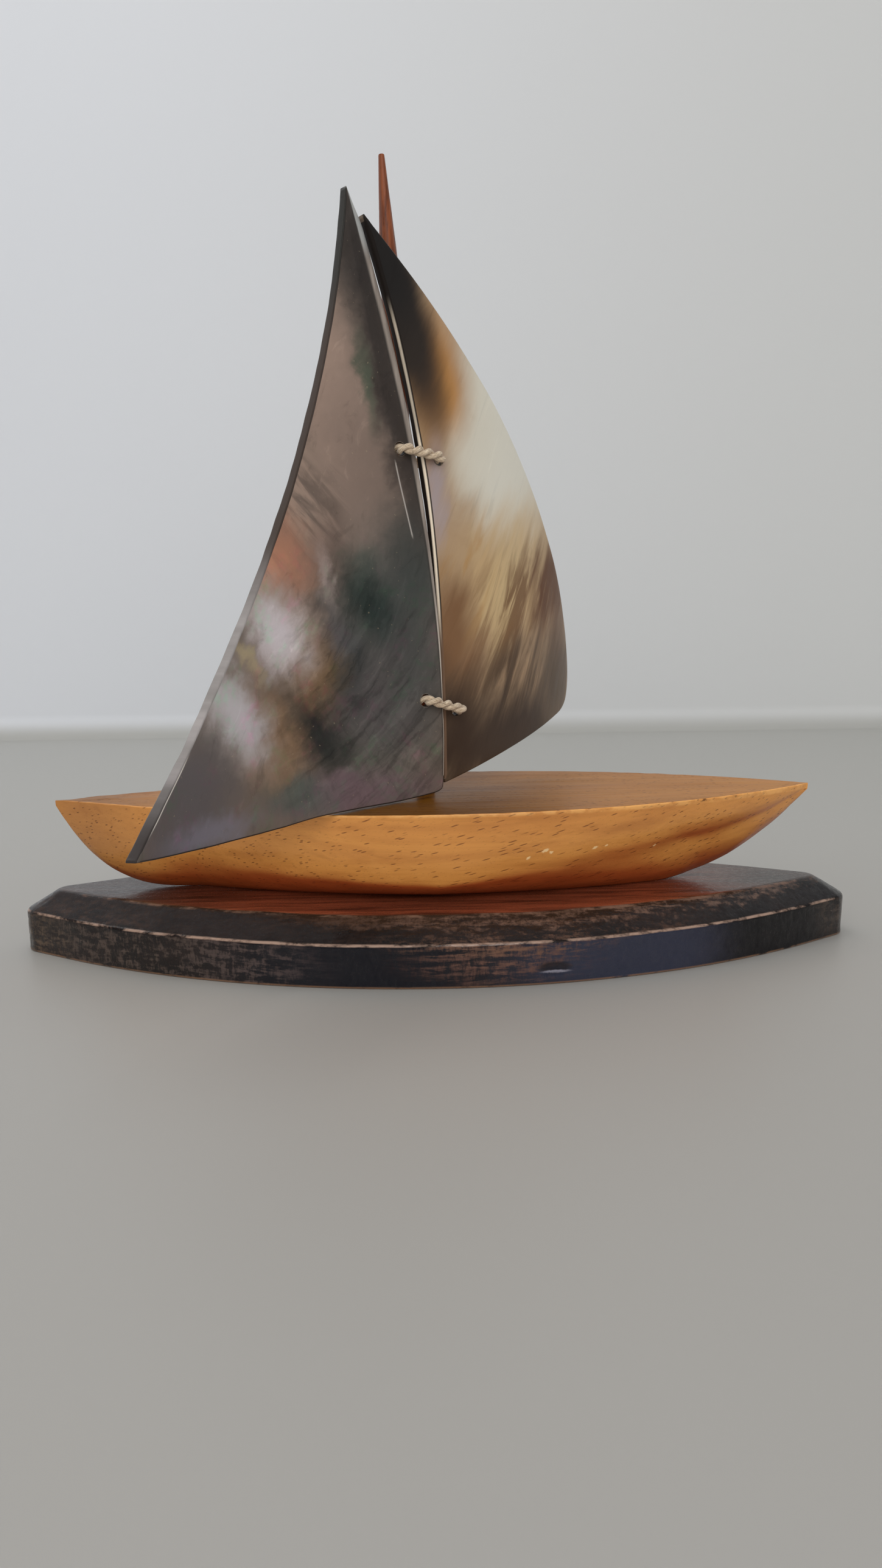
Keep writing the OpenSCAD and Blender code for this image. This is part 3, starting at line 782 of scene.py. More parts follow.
def build_lashing(index, name):
    path, mid, back = lashing_path(index)
    count = len(path)
    length = np.linalg.norm(np.roll(path, -1, 0) - path, axis=1).sum()
    turns = round(length / 6.6)
    tangent = unit(np.roll(path, -1, 0) - np.roll(path, 1, 0))
    side = unit(np.cross(tangent, MAST_DIR))
    up = np.cross(side, tangent)
    idx = np.arange(0, count, 2)
    rng = np.random.default_rng(60 + index)
    parts = []                                      # (tube, strand number)

    # two strands twisted round each other
    for k in (0, 1):
        twist = (2 * math.pi * turns * idx / count + math.pi * k + 1.1 + 0.9 * index
                 + 0.25 * np.sin(2 * math.pi * idx / count * 3 + k))
        line = path[idx] + 0.60 * (np.cos(twist)[:, None] * side[idx]
                                   + np.sin(twist)[:, None] * up[idx])
        radius = 0.66 * (1 + 0.03 * wobble(np.c_[idx * length / count, 0 * idx], 3.0, 70 + k, 8))
        parts.append((tube(line, radius, 12, True), k))

    # the knot behind the mast: two snug turns round the cord and two cut tails
    knot = np.linalg.norm(path - mid, axis=1).argmin()
    near, along = path[knot], tangent[knot]
    e1 = unit(back - along * (back @ along))
    e2 = np.cross(along, e1)
    for offset, sign, start in ((-0.75, 1, 0.4), (0.75, -1, 2.2)):
        s = np.linspace(0, 1, 60)
        a = sign * 2 * math.pi * (1.1 * s) + start
        radius = 1.52 - 0.75 * (1 - smooth(s, 0, 0.08)) - 0.75 * smooth(s, 0.92, 1)
        line = (near + along * (offset + 0.5 * (s - 0.5))[:, None]
                + radius[:, None] * (np.cos(a)[:, None] * e1 + np.sin(a)[:, None] * e2))
        parts.append((tube(line, 0.58, 12), 2))
    for sign, tail in ((-1, 8.5), (1, 6.8)):
        s = np.linspace(0, 1, 36)
        root = near + e1 * 1.25 + along * sign * 0.6
        end = root - UP * tail * 0.75 + e1 * (1.5 + 0.4 * sign) + along * sign * 2.6
        line = cubic([root, root + e1 * 2.0 + along * sign * 0.5, end + UP * tail * 0.4, end], s)
        way = unit(np.gradient(line, axis=0))
        n1 = unit(np.cross(way, UP) + 1e-6)
        n2 = np.cross(way, n1)
        for k in (0, 1):
            twist = 2 * math.pi * s * tail / 6.0 + math.pi * k
            spread = 0.42 + 0.35 * smooth(s, 0.82, 1)
            strand = line + spread[:, None] * (np.cos(twist)[:, None] * n1
                                               + np.sin(twist)[:, None] * n2)
            parts.append((tube(strand, 0.52 - 0.16 * smooth(s, 0.85, 1), 10), 2 + k))
        for _ in range(5):                          # loose fibres at the cut end
            stray = unit(way[-1] + rng.normal(size=3) * 0.45)
            root = line[-1] - way[-1] * 0.4 + rng.normal(size=3) * 0.25
            parts.append((fibre(root, stray, 1.5, 0.5, 0.09, 0.04, 9), 2))

    # a few loose fibres standing off the front turn
    front = [j for j in idx if (path[j] - mid) @ back < -8]
    for j in rng.choice(front, 9):
        stray = unit(tangent[j] * rng.choice([-1, 1]) + rng.normal(size=3) * 0.6 - back * 0.5)
        root = path[j] - back * 0.9 + rng.normal(size=3) * 0.2
        parts.append((fibre(root, stray, rng.uniform(0.8, 1.6), 0.35, 0.07, 0.03, 8), 2))

    verts, faces, rope, base = [], [], [], 0
    for (points, quads, round_along), strand in parts:
        verts.append(points)
        faces += [tuple(base + j for j in face) for face in quads]
        rope.append(np.c_[round_along, np.full(len(points), strand)])
        base += len(points)
    ob = mesh_object(name, np.vstack(verts), faces, 55, weld=False)
    set_attribute(ob, "rope", np.vstack(rope))
    return ob


# ------------------------------------------------------------------ shader helpers
def linear(colour):
    """Turns an sRGB triple (0-255) into a linear colour; leaves anything else alone."""
    if not isinstance(colour, tuple) or len(colour) != 3:
        return colour
    return tuple((c / 255) / 12.92 if c <= 10.31 else ((c / 255 + 0.055) / 1.055) ** 2.4
                 for c in colour) + (1.0,)


class Socket:
    """An output in a node graph; its methods add nodes fed by it."""

    def __init__(self, graph, socket):
        self.graph, self.socket = graph, socket


class Number(Socket):
    def math(self, operation, other=None):
        return self.graph.node("Math", {0: self, 1: other}, operation=operation)

    def __add__(self, other):
        return self.math("ADD", other)

    def __sub__(self, other):
        return self.math("SUBTRACT", other)

    def __mul__(self, other):
        return self.math("MULTIPLY", other)

    def __pow__(self, other):
        return self.math("POWER", other)

    def __abs__(self):
        return self.math("ABSOLUTE")

    def fade(self, start, end, low=0.0, high=1.0):
        """Smooth step from low at start to high at end; start may be the larger."""
        return self.graph.node("MapRange", dict(enumerate((self, start, end, low, high))),
                               interpolation_type="SMOOTHSTEP")

    def bump(self, depth, strength, under=None):
        """Normal for this height, depth in mm, on top of another bump."""
        return self.graph.node("Bump", {"Height": self, "Distance": depth * MM,
                                        "Strength": strength, "Normal": under}, give=Socket)


class Place(Socket):
    def math(self, operation, other=None, slot=1):
        return self.graph.node("VectorMath", {0: self, slot: other}, give=Place,
                               operation=operation)

    def __add__(self, other):
        return self.math("ADD", other)

    def __sub__(self, other):
        return self.math("SUBTRACT", other)

    def __mul__(self, other):
        """Per axis by a tuple, or evenly by a number."""
        if isinstance(other, tuple):
            return self.math("MULTIPLY", other)
        return self.math("SCALE", other, slot=3)

    def length(self):
        return self.graph.node("VectorMath", {0: self}, "Value", operation="LENGTH")

    def split(self):
        return [self.graph.node("SeparateXYZ", {0: self}, k) for k in range(1)] and self._split()

    def _split(self):
        x = self.graph.node("SeparateXYZ", {0: self})
        return [Number(self.graph, out) for out in x.socket.node.outputs]

    def mapped(self, kind, location=None, rotation=None, scale=None):
        """Mapping node; rotation in degrees."""
        turn = tuple(math.radians(a) for a in rotation)
        return self.graph.node("Mapping", {"Vector": self, "Location": location, "Rotation": turn,
                                           "Scale": scale}, give=Place, vector_type=kind)

    def stretch(self, angle, scales):
        """Turns by -angle in the first two axes, then scales, so a noise runs along angle."""
        return self.mapped("TEXTURE", None, (0, 0, angle), tuple(1 / c for c in scales))

    def blob(self, centre, size, angle=0.0, soft=0.5):
        """1 inside an ellipse, 0 outside, with a soft edge."""
        inside = self.mapped("TEXTURE", (*centre, 0), (0, 0, angle), (*size, 1e4))
        return inside.length().fade(1 + soft, max(0.0, 1 - soft))

    def noise(self, scale=1.0, detail=4.0, rough=0.55, warp=0.0, output="Fac", give=Number):
        return self.graph.node("TexNoise", {"Vector": self, "Scale": scale, "Detail": detail,
                                            "Roughness": rough, "Distortion": warp}, output, give)

    def drift(self, **settings):
        """Random offset, each axis about -0.5..0.5."""
        return self.noise(output="Color", give=Place, **settings) - (0.5, 0.5, 0.5)

    def cells(self, scale=1.0):
        """Distance to the nearest of a scatter of points."""
        return self.graph.node("TexVoronoi", {"Vector": self, "Scale": scale}, "Distance",
                               feature="F1")


class Colour(Socket):
    def mix(self, factor, other):
        return self.graph.mix(factor, self, other)

    def tint(self, gain):
        """Multiplied by a number, or by one number per channel."""
        gain = gain if isinstance(gain, tuple) else (gain,) * 3
        return self.graph.mix(1.0, self, (*gain, 1), "MULTIPLY")

    def tint_where(self, factor, gain):
        return self.mix(factor, self.tint(gain))


class Graph:
    def __init__(self, tree):
        self.tree = tree

    def feed(self, slot, value):
        if isinstance(value, Socket):
            self.tree.links.new(value.socket, slot)
        elif value is not None:
            slot.default_value = value

    def node(self, kind, inputs, output=0, give=Number, **settings):
        made = self.tree.nodes.new("ShaderNode" + kind)
        for key, value in settings.items():
            setattr(made, key, value)
        for key, value in inputs.items():
            if value is not None:
                self.feed(made.inputs[key], value)
        return give(self, made.outputs[output])

    def mix(self, factor, a, b, mode="MIX"):
        return self.node("Mix", {0: factor, 6: linear(a), 7: linear(b)}, 2, Colour,
                         data_type="RGBA", blend_type=mode)

    def glossy_ray(self):
        return self.node("LightPath", {}, "Is Glossy Ray")


class Material(Graph):
    def __init__(self, name):
        self.data = bpy.data.materials.new(name)
        self.data.use_nodes = True
        super().__init__(self.data.node_tree)
        self.tree.nodes.clear()
        out = self.tree.nodes.new("ShaderNodeOutputMaterial")
        self.shader = self.tree.nodes.new("ShaderNodeBsdfPrincipled")
        self.tree.links.new(self.shader.outputs[0], out.inputs[0])

    def surface(self, **inputs):
        """Feeds the shader's inputs (underscores stand for spaces); returns the material."""
        for key, value in inputs.items():
            self.feed(self.shader.inputs[key.replace("_", " ")], value)
        return self.data

    def combine(self, x, y, z=0.0):
        return self.node("CombineXYZ", {0: x, 1: y, 2: z}, give=Place)

    def attribute(self, name, output="Vector", give=Place):
        return self.node("Attribute", {}, output, give, attribute_name=name)

    def sail_attributes(self):
        return (self.attribute("loc"), self.attribute("edge", "Fac", Number),
                self.attribute("side", "Fac", Number))

    def object_mm(self):
        return self.node("TexCoord", {}, "Object", Place) * 1000.0

    def normal_z(self):
        return self.node("NewGeometry", {}, "Normal", Place).split()[2]

    def ramp(self, factor, stops):
        made = self.node("ValToRGB", {0: factor}, give=Colour)
        elements = made.socket.node.color_ramp.elements
        while len(elements) > 1:
            elements.remove(elements[-1])
        elements[0].position, elements[0].color = stops[0][0], linear(stops[0][1])
        for position, colour in stops[1:]:
            elements.new(position).color = linear(colour)
        return made

    def paint(self, base, place, layers):
        """Lays soft ellipses over base, each: colour, centre, size, angle, softness,
        strength, then any masks."""
        for colour, centre, size, angle, soft, strength, *masks in layers:
            factor = place.blob(centre, size, angle, soft) * strength
            for mask in masks:
                factor = factor * mask
            base = self.mix(factor, base, colour)
        return base


def split_place(self):
    """The x, y and z of a place, from one node."""
    first = self.graph.node("SeparateXYZ", {0: self})
    return [Number(self.graph, out) for out in first.socket.node.outputs]


del Place._split
Place.split = split_place


# ------------------------------------------------------------------ materials
# On the sails the "edge" attribute is below 0 on the front face, 0..1 over the front
# rounding, 2..3 over the rear one and above 3 on the rear face; "side" is 1 on the jib's
# luff or the mainsail's leech, 2 on the foot and 3 on the jib's seam or the mainsail's luff.
def jib_material():
    mat = Material("jib_nacre")
    loc, edge, side = mat.sail_attributes()
    flow = loc.stretch(126, (0.06, 0.12, 1)).drift(detail=3, rough=0.55, warp=0.5)
    fine = loc.drift(scale=0.32, detail=5, rough=0.62, warp=0.3)
    warped = loc + flow * 9.0 + fine * 5.0
    streak = loc.stretch(38, (0.055, 0.26, 1)).noise(detail=5, rough=0.62, warp=0.8)
    streak = streak.fade(0.38, 0.62)
    col = mat.paint((90, 79, 71), warped, [
        # broad tones, from the peak down
        ((137, 116, 103), (-42, 38), (9, 30), -14, 0.7, 1.0),
        ((138, 117, 103), (-30, 18), (10, 15), -30, 0.8, 0.9),
        ((54, 48, 44), (-50, 72), (7, 15), -10, 0.7, 1.0),
        ((44, 38, 35), (-58.5, 42), (4.8, 36), -11, 0.6, 0.85),
        ((104, 89, 80), (-49, 24), (8, 16), -14, 0.8, 0.7),
        ((70, 60, 54), (-33, 14), (12, 10), 30, 0.6, 0.7, streak),
        ((146, 102, 80), (-24.5, 4), (10, 8.0), 60, 0.8, 0.9),
        ((168, 118, 92), (-20, 0), (5, 7), 60, 0.8, 0.6, streak),
        ((92, 74, 66), (-42, 4), (9, 7), 20, 0.7, 0.6),
        ((74, 82, 72), (-49, 1), (5, 6), 10, 0.8, 0.6),
        ((54, 68, 54), (-52.0, 43), (2.2, 8), -8, 0.8, 0.7),
        # dark curved swirl across the lower part
        ((64, 59, 56), (-59, -3), (12, 16), 20, 0.7, 0.6),
        ((52, 54, 50), (-62, 3), (6, 11), -22, 0.8, 0.65),
        ((34, 40, 35), (-53, -10), (6.5, 14), -38, 0.8, 0.9),
        ((28, 33, 29), (-43, -22), (7.0, 15), -46, 0.7, 0.95),
        ((28, 29, 26), (-34, -34), (7.5, 13), -34, 0.7, 0.95),
        ((84, 74, 72), (-40, -13), (4, 7), -30, 0.8, 0.8),
        ((80, 68, 64), (-55, -27), (15, 11), -38, 0.6, 0.9),
        ((72, 65, 60), (-63, -22), (6, 16), -8, 0.7, 0.6)])
    col = col.tint_where(loc.blob((-53, -20), (17, 27), 8, 0.6) * 0.9, (0.76, 0.96, 1.04))
    col = mat.paint(col, warped, [
        # pearly blobs and their amber rims
        ((106, 82, 58), (-29.5, -16), (8, 13), -34, 0.6, 0.95),
        ((112, 86, 62), (-17, -33), (8.5, 13), -40, 0.6, 0.9),
        ((150, 137, 132), (-24, -11.5), (8.5, 10.5), -42, 0.6, 1.0),
        ((180, 172, 175), (-23, -12.5), (4.8, 7), -36, 0.8, 0.75),
        ((150, 134, 104), (-13.5, -17.5), (5.5, 1.8), 35, 0.8, 0.7),
        ((134, 124, 119), (-8.5, -28), (7.4, 13.5), -42, 0.6, 1.0),
        ((166, 160, 162), (-9, -28), (4.2, 9), -40, 0.8, 0.8),
        ((160, 144, 138), (-37.5, 0.5), (1.7, 5.5), -18, 0.9, 0.4),
        # foot and tack
        ((96, 76, 82), (-42, -49), (20, 4.2), 2, 0.7, 0.7),
        ((74, 70, 72), (8, -46), (16, 11), -40, 0.6, 0.85),
        ((104, 100, 110), (1, -51), (12, 3.0), 0, 0.8, 0.65),
        ((60, 72, 64), (-27, -48), (9, 3.6), 12, 0.8, 0.7)])

    # growth rings and brushed lines that follow the swirl
    polar = loc + fine * 2.2 - (-8.0, 14.0, 0.0)
    px, py, _ = polar.split()
    radius, angle = polar.length(), py.math("ARCTAN2", px)
    rings = mat.combine(radius * 0.34, angle * 3.2).noise(detail=5, rough=0.62, warp=0.9)
    cross = mat.combine(radius * 0.10, angle * 26.0).noise(detail=4, rough=0.6, warp=0.3)
    low = loc.blob((-50, -30), (24, 30), 0, 0.7)
    col = col.tint_where(low * rings.fade(0.50, 0.66), 0.62)
    col = col.tint_where(low * rings.fade(0.46, 0.34), 1.28)
    for start, end, gain in ((0.52, 0.66, 1.12), (0.46, 0.36, 0.86)):
        brushed = loc.blob((-44, -40), (30, 14), 0, 0.6) * cross.fade(start, end)
        col = col.tint_where(brushed, gain)

    # faint green and pink lustre, streaks of light and dark, and speckle
    hue = loc.noise(scale=0.085, detail=3, rough=0.55, warp=0.5)
    patchy = loc.noise(scale=0.42, detail=4, rough=0.6)
    wide = loc.split()[1].fade(14, -6) * patchy.fade(0.44, 0.62)
    col = col.tint_where(wide * hue.fade(0.52, 0.66), (1.14, 0.90, 1.03))
    col = col.tint_where(wide * hue.fade(0.48, 0.36), (0.88, 1.10, 0.95))
    mottle = loc.stretch(122, (0.13, 0.26, 1)).noise(detail=6, rough=0.66, warp=0.8)
    col = col.tint_where(mottle.fade(0.44, 0.28, 0, 0.75), 0.72)
    col = col.tint_where(mottle.fade(0.56, 0.74, 0, 0.75), 1.3)
    speckle = loc.noise(scale=1.3, detail=2, rough=0.5)
    col = col.mix(speckle.fade(0.70, 0.76, 0, 0.35), (150, 135, 110))

    # crease parallel to the seam: painted shade between it and the seam, and a pale painted highlight
    # along its ridge on the middle stretch
    y, z, _ = loc.split()
    crease = (z * CREASE_SLOPE + CREASE_Y) + abs(z + -CREASE_MID_Z) ** 2.0 * CREASE_BEND
    past = crease - y
    reach = z.fade(6, 14) * z.fade(80, 74)
    col = col.tint_where(past.fade(0.0, 0.9) * past.fade(7.5, 2.0) * (reach * 0.45), 0.60)
    # pale line along the crease's ridge: a painted highlight
    ridge_highlight = abs(past).fade(0.30, 0.05) * (z.fade(8.5, 10) * z.fade(27, 25))
    col = col.mix(ridge_highlight * 0.5, (190, 182, 174))

    # the seam's rounded strip, and the luff's thickness, dark at the peak
    arris = (edge.fade(-0.22, -0.05) * edge.fade(0.25, 0.10) * z.fade(-34, -38)
             * side.fade(1.5, 1.2))
    grain = loc.stretch(90, (0.05, 0.5, 1)).noise(detail=4, rough=0.6)
    strip = mat.mix(grain.fade(0.35, 0.7), (112, 102, 94), (142, 131, 121))
    strip = strip.mix(z.fade(5, -20), (170, 160, 148)).mix(z.fade(72, 80), (136, 136, 134))
    # the strip's wall made near-black: painted shade in the gap between the two shells
    strip = strip.mix(edge.fade(1.0, 1.25), (34, 29, 26))
    grain = loc.stretch(110, (0.06, 0.4, 1)).noise(detail=4, rough=0.6)
    luff = mat.mix(grain.fade(0.35, 0.7), (114, 109, 106), (138, 132, 130))
    luff = luff.mix(z.fade(-12, 10), (54, 43, 36)).mix(z.fade(48, 70), (36, 34, 30))
    luff = luff.mix(z.fade(-33, -50), (48, 42, 40))
    ends = z.fade(-6, 12, 0.15, 1.0) + z.fade(-34, -44, 0.0, 0.85)
    # painted shade across the luff's rounded edge, darkest at the arris next to the face
    luff = luff.mix(edge.fade(0.8, 0.1) * 0.7 * ends, (34, 31, 29))
    col = col.mix(edge.fade(-0.05, 0.22), luff.mix(side.fade(2.4, 2.6), strip))
    rim = edge.fade(-0.5, -0.08) * edge.fade(0.12, -0.02) * side.fade(2.4, 2.6)
    col = col.mix(rim * 0.6, (46, 42, 38))
    drop = z + -JIB_PEAK[1]                         # the seam's inner line near the peak
    inner = drop * drop * 0.001494 + drop * 0.332 + JIB_PEAK[0]
    peak = z.fade(69, 75) * (y - inner).fade(0.25, -0.15) * edge.fade(1.5, 1.2)
    col = col.mix(peak, (140, 140, 137))
    # a painted highlight along the luff's front arris near the tack
    col = col.mix(arris * z.fade(-49.5, -46) * 0.8, (196, 188, 178))

    # brown outer skin on the rear face
    skin_noise = loc.stretch(118, (0.07, 0.35, 1)).noise(detail=6, rough=0.65, warp=0.8)
    rear = mat.ramp(skin_noise, [(0.28, (70, 56, 44)), (0.45, (120, 100, 78)),
                                 (0.58, (166, 148, 120)), (0.75, (98, 84, 70))])
    rear = rear.mix(rings.fade(0.5, 0.62, 0, 0.5), (84, 66, 50))
    col = col.mix(edge.fade(2.5, 3.0), rear)
    bump = loc.noise(scale=0.5, detail=3, rough=0.5).bump(0.10, 0.5)
    ridges = loc.stretch(122, (0.3, 1.6, 1)).noise(detail=5, rough=0.65)
    return mat.surface(
        Base_Color=col.tint(1.5), Roughness=mottle.fade(0.2, 0.8, 0.28, 0.40),
        Specular_IOR_Level=0.32, Coat_Weight=0.12, Coat_Roughness=0.16, Coat_IOR=1.5,
        Normal=ridges.bump(0.03, 0.6, bump))


def main_material():
    mat = Material("mainsail_shell")
    loc, edge, side = mat.sail_attributes()
    z = loc.split()[1]
    flow = loc.stretch(56, (0.035, 0.15, 1)).drift(detail=4, rough=0.6, warp=0.5)
    warped = loc + flow * z.fade(22, -8, 5.0, 15.0)
    streak = loc.stretch(56, (0.022, 0.17, 1)).noise(detail=5, rough=0.6, warp=0.5)
    thin = loc.stretch(60, (0.05, 0.5, 1)).noise(detail=5, rough=0.62, warp=0.3)
    col = mat.paint((146, 122, 96), warped, [
        ((182, 178, 165), (-8, 17), (17, 25), 28, 0.6, 1.0),
        ((184, 180, 168), (2, 6), (15, 18), 20, 0.7, 1.0),
        # tan lower half with streaks that run up towards the leech
        ((168, 142, 104), (0, -14), (26, 15), 16, 0.6, 0.85),
        ((150, 116, 74), (-16, -16), (17, 15), 0, 0.6, 0.8, streak.fade(0.50, 0.64)),
        ((172, 150, 112), (-7, -20), (7, 14), -30, 0.8, 0.75),
        ((92, 62, 36), (4, -22), (28, 14), 20, 0.6, 0.85, streak.fade(0.54, 0.40)),
        ((78, 44, 18), (20, -19), (14, 11), 36, 0.6, 0.95, streak.fade(0.68, 0.50)),
        ((96, 66, 42), (-29, -30), (9, 15), 0, 0.7, 0.85),
        ((58, 44, 33), (0, -42), (30, 10), 8, 0.6, 0.85, streak.fade(0.66, 0.42)),
        ((48, 38, 32), (-8, -58), (34, 12), 6, 0.6, 0.95),
        ((46, 34, 27), (-32, -52), (9, 14), 0, 0.6, 0.85),
        ((66, 52, 39), (26, -43), (14, 12), 10, 0.6, 0.85),
        ((82, 52, 30), (27, -22), (10, 14), 20, 0.8, 0.7),
        # upper corner: cream, then amber, then dark at the peak
        ((178, 172, 158), (-20, 21), (9, 13), 10, 0.7, 0.8),
        ((126, 98, 68), (-33, 16), (5, 10), 0, 0.8, 0.7),
        ((140, 98, 54), (-29, 31), (8.5, 13), 14, 0.7, 0.95),
        ((160, 114, 60), (-27.5, 28), (4, 7), 14, 0.9, 0.5),
        ((84, 60, 40), (-34.5, 32), (5.0, 13), 14, 0.9, 0.85),
        ((42, 36, 32), (-40, 44), (8, 22), 22, 0.5, 1.0),
        ((31, 29, 28), (-45, 56), (8, 16), 26, 0.6, 1.0),
        ((138, 128, 132), (-32, 4), (3.5, 10), 0, 0.8, 0.75)])
    col = col.tint_where(thin.fade(0.44, 0.30, 0, 0.6), 0.84)
    col = col.tint_where(thin.fade(0.56, 0.74, 0, 0.6), 1.12)
    cloud = loc.noise(scale=0.06, detail=4, rough=0.55, warp=0.4)
    col = col.tint_where(cloud.fade(0.40, 0.28, 0, 0.5), (0.9, 0.88, 0.84))

    # edges: down the luff a dark border of painted shade in the gap between the shells, with a thin
    # light line of painted highlight; the face's own colour elsewhere
    patchy = loc.stretch(90, (0.1, 0.8, 1)).noise(detail=4, rough=0.6)
    light = (z.fade(48, 40) * z.fade(20, 14, 0.55, 1.0)
             * (edge.fade(0.25, 0.6) * patchy.fade(0.2, 0.42, 0.6, 1.0)))
    border = mat.mix(side.fade(2.4, 2.6), col.tint((0.95, 0.93, 0.9)),
                     mat.mix(light, (26, 22, 20), (206, 192, 172)))
    border = border.mix(side.fade(2.4, 2.6) * z.fade(-20, -34), (96, 74, 58))
    # the walls: plain brown on the leech, and on the luff painted shade in the gap between the shells
    border = border.mix(edge.fade(1.0, 1.25),
                        mat.mix(side.fade(2.4, 2.6), (90, 78, 66), (30, 25, 22)))
    front = col.mix(edge.fade(-0.02, 0.2), border)

    # pink and grey rear face with growth rings
    rear = mat.ramp(loc.noise(scale=0.09, detail=4, rough=0.6, warp=0.8), [
        (0.25, (150, 160, 152)), (0.45, (196, 192, 186)), (0.58, (196, 176, 182)),
        (0.75, (150, 138, 140))])
    polar = loc - (-60.0, 70.0, 0.0)
    px, py, _ = polar.split()
    rings = mat.combine(polar.length() * 0.5, py.math("ARCTAN2", px) * 3.0)
    rings = rings.noise(detail=5, rough=0.6, warp=0.4)
    rear = rear.mix(rings.fade(0.5, 0.64, 0, 0.5), (126, 116, 108)).mix(0.35, col)
    col = front.mix(edge.fade(2.5, 3.0), rear)
    bump = loc.noise(scale=0.4, detail=3, rough=0.5).bump(0.08, 0.5)
    ridges = loc.stretch(56, (0.2, 1.2, 1)).noise(detail=5, rough=0.65)
    return mat.surface(
        Base_Color=col.tint(1.6), Roughness=thin.fade(0.2, 0.8, 0.28, 0.40),
        Specular_IOR_Level=0.14, Coat_Weight=0.03, Coat_Roughness=0.14,
        Normal=ridges.bump(0.02, 0.6, bump))


def hull_material():
    mat = Material("beech_varnished")
    pos = mat.object_mm()
    x, y, z = pos.split()
    grain = (pos * (0.012, 0.10, 0.14)).noise(detail=5, rough=0.6, warp=0.7)
    col = mat.ramp(grain, [(0.28, (160, 106, 58)), (0.45, (175, 120, 67)),
                           (0.56, (181, 126, 71)), (0.74, (168, 113, 62))])
    line = (pos * (0.02, 0.9, 0.9)).noise(detail=4, rough=0.65, warp=0.2)
    col = col.tint_where(line.fade(0.46, 0.33, 0, 0.5), (0.84, 0.80, 0.74))
    col = col.tint_where(line.fade(0.56, 0.72, 0, 0.4), (1.08, 1.08, 1.06))
    # the pale and dark figure of quarter-cut beech
    figure = (pos.stretch(14, (1, 1, 1)) * (0.05, 0.32, 0.26)).noise(
        detail=5, rough=0.6, warp=0.8)
    col = col.mix(figure.fade(0.54, 0.70, 0, 0.3), (186, 133, 79))
    col = col.mix(figure.fade(0.44, 0.30, 0, 0.2), (152, 99, 53))
    # short dark flecks that slant a little along the grain
    slanted = pos.mapped("POINT", rotation=(0, 16, 0))
    spots = (slanted * (0.20, 1.25, 1.5)).cells()
    groups = (pos * (0.09, 0.3, 0.3)).noise(detail=2, rough=0.5)
    fleck = spots.fade(0.26, 0.15) * groups.fade(0.36, 0.50)
    col = col.mix(fleck * 0.72, (88, 44, 16))
    spots = (slanted * (0.75, 2.2, 2.6)).cells()
    col = col.mix(spots.fade(0.22, 0.10) * 0.28, (100, 60, 30))
    # redder and darker below the chine, painted shade and reflection of the dark plinth on the faces
    # that turn down, and darker at the bow
    facing_up = mat.normal_z()
    col = col.tint_where(facing_up.fade(-0.42, -0.72) * 0.9, (0.58, 0.24, 0.24))
    col = col.tint_where(x.fade(-62, -88, 0, 0.9), (0.62, 0.62, 0.70))
    # lighter arris round the deck, a painted highlight broken up by wear, with darker nicks
    wear = (pos * (0.25, 0.5, 0.5)).noise(detail=4, rough=0.6)
    rim = z.fade(DECK_Z - 1.0, DECK_Z - 0.4) * facing_up.fade(0.985, 0.90)
    col = col.mix(rim * wear.fade(0.40, 0.60, 0.1, 0.5), (206, 160, 108))
    col = col.mix(rim * wear.fade(0.36, 0.26) * x.fade(40, 70, 0.2, 1.0), (84, 52, 28))
    # small pale dents in the varnish of the near side: (x, z), size
    for centre, size in (((24.4, 28.8), (0.9, 0.35)), ((25.9, 28.2), (0.4, 0.3)),
                         ((36.5, 28.6), (0.7, 0.28)), ((39.3, 29.0), (0.5, 0.25)),
                         ((20.5, 27.0), (0.5, 0.25)), ((52, 27.4), (0.4, 0.2))):
        flat = mat.combine(x, z)
        ragged = flat + flat.drift(scale=1.6, detail=3, rough=0.6) * 0.9
        dent = ragged.blob(centre, size, 25, 0.5) * y.fade(-8, -12)
        col = col.mix(dent * 0.8, (214, 190, 160))
    deck = facing_up.fade(0.90, 0.985)
    bands = (pos * (0.02, 0.16, 0.1)).noise(detail=5, rough=0.62, warp=0.6)
    col = col.tint_where(deck * bands.fade(0.34, 0.66, 0.8, 1.0), (0.58, 0.56, 0.40))
    # deck darker round the mast: painted reflection and shadow of the sails
    col = col.tint_where(deck * (x.fade(46, 6) * x.fade(-50, -20)), (0.44, 0.42, 0.28))
    bump = line.bump(0.05, 0.5)
    bump = pos.noise(scale=0.25, detail=3, rough=0.5).bump(0.18, 0.35, bump)
    return mat.surface(
        Base_Color=col.tint((1.64, 1.54, 1.16)), Roughness=line.fade(0.25, 0.75, 0.30, 0.42),
        Specular_IOR_Level=deck.fade(0.0, 1.0, 0.5, 0.12),
        Coat_Weight=deck.fade(0.0, 1.0, 0.35, 0.0),
        Coat_Roughness=figure.fade(0.3, 0.7, 0.16, 0.26), Coat_IOR=1.5,
        Normal=fleck.bump(-0.06, 0.6, bump),
        Coat_Normal=pos.noise(scale=0.35, detail=2, rough=0.5).bump(0.12, 0.35))


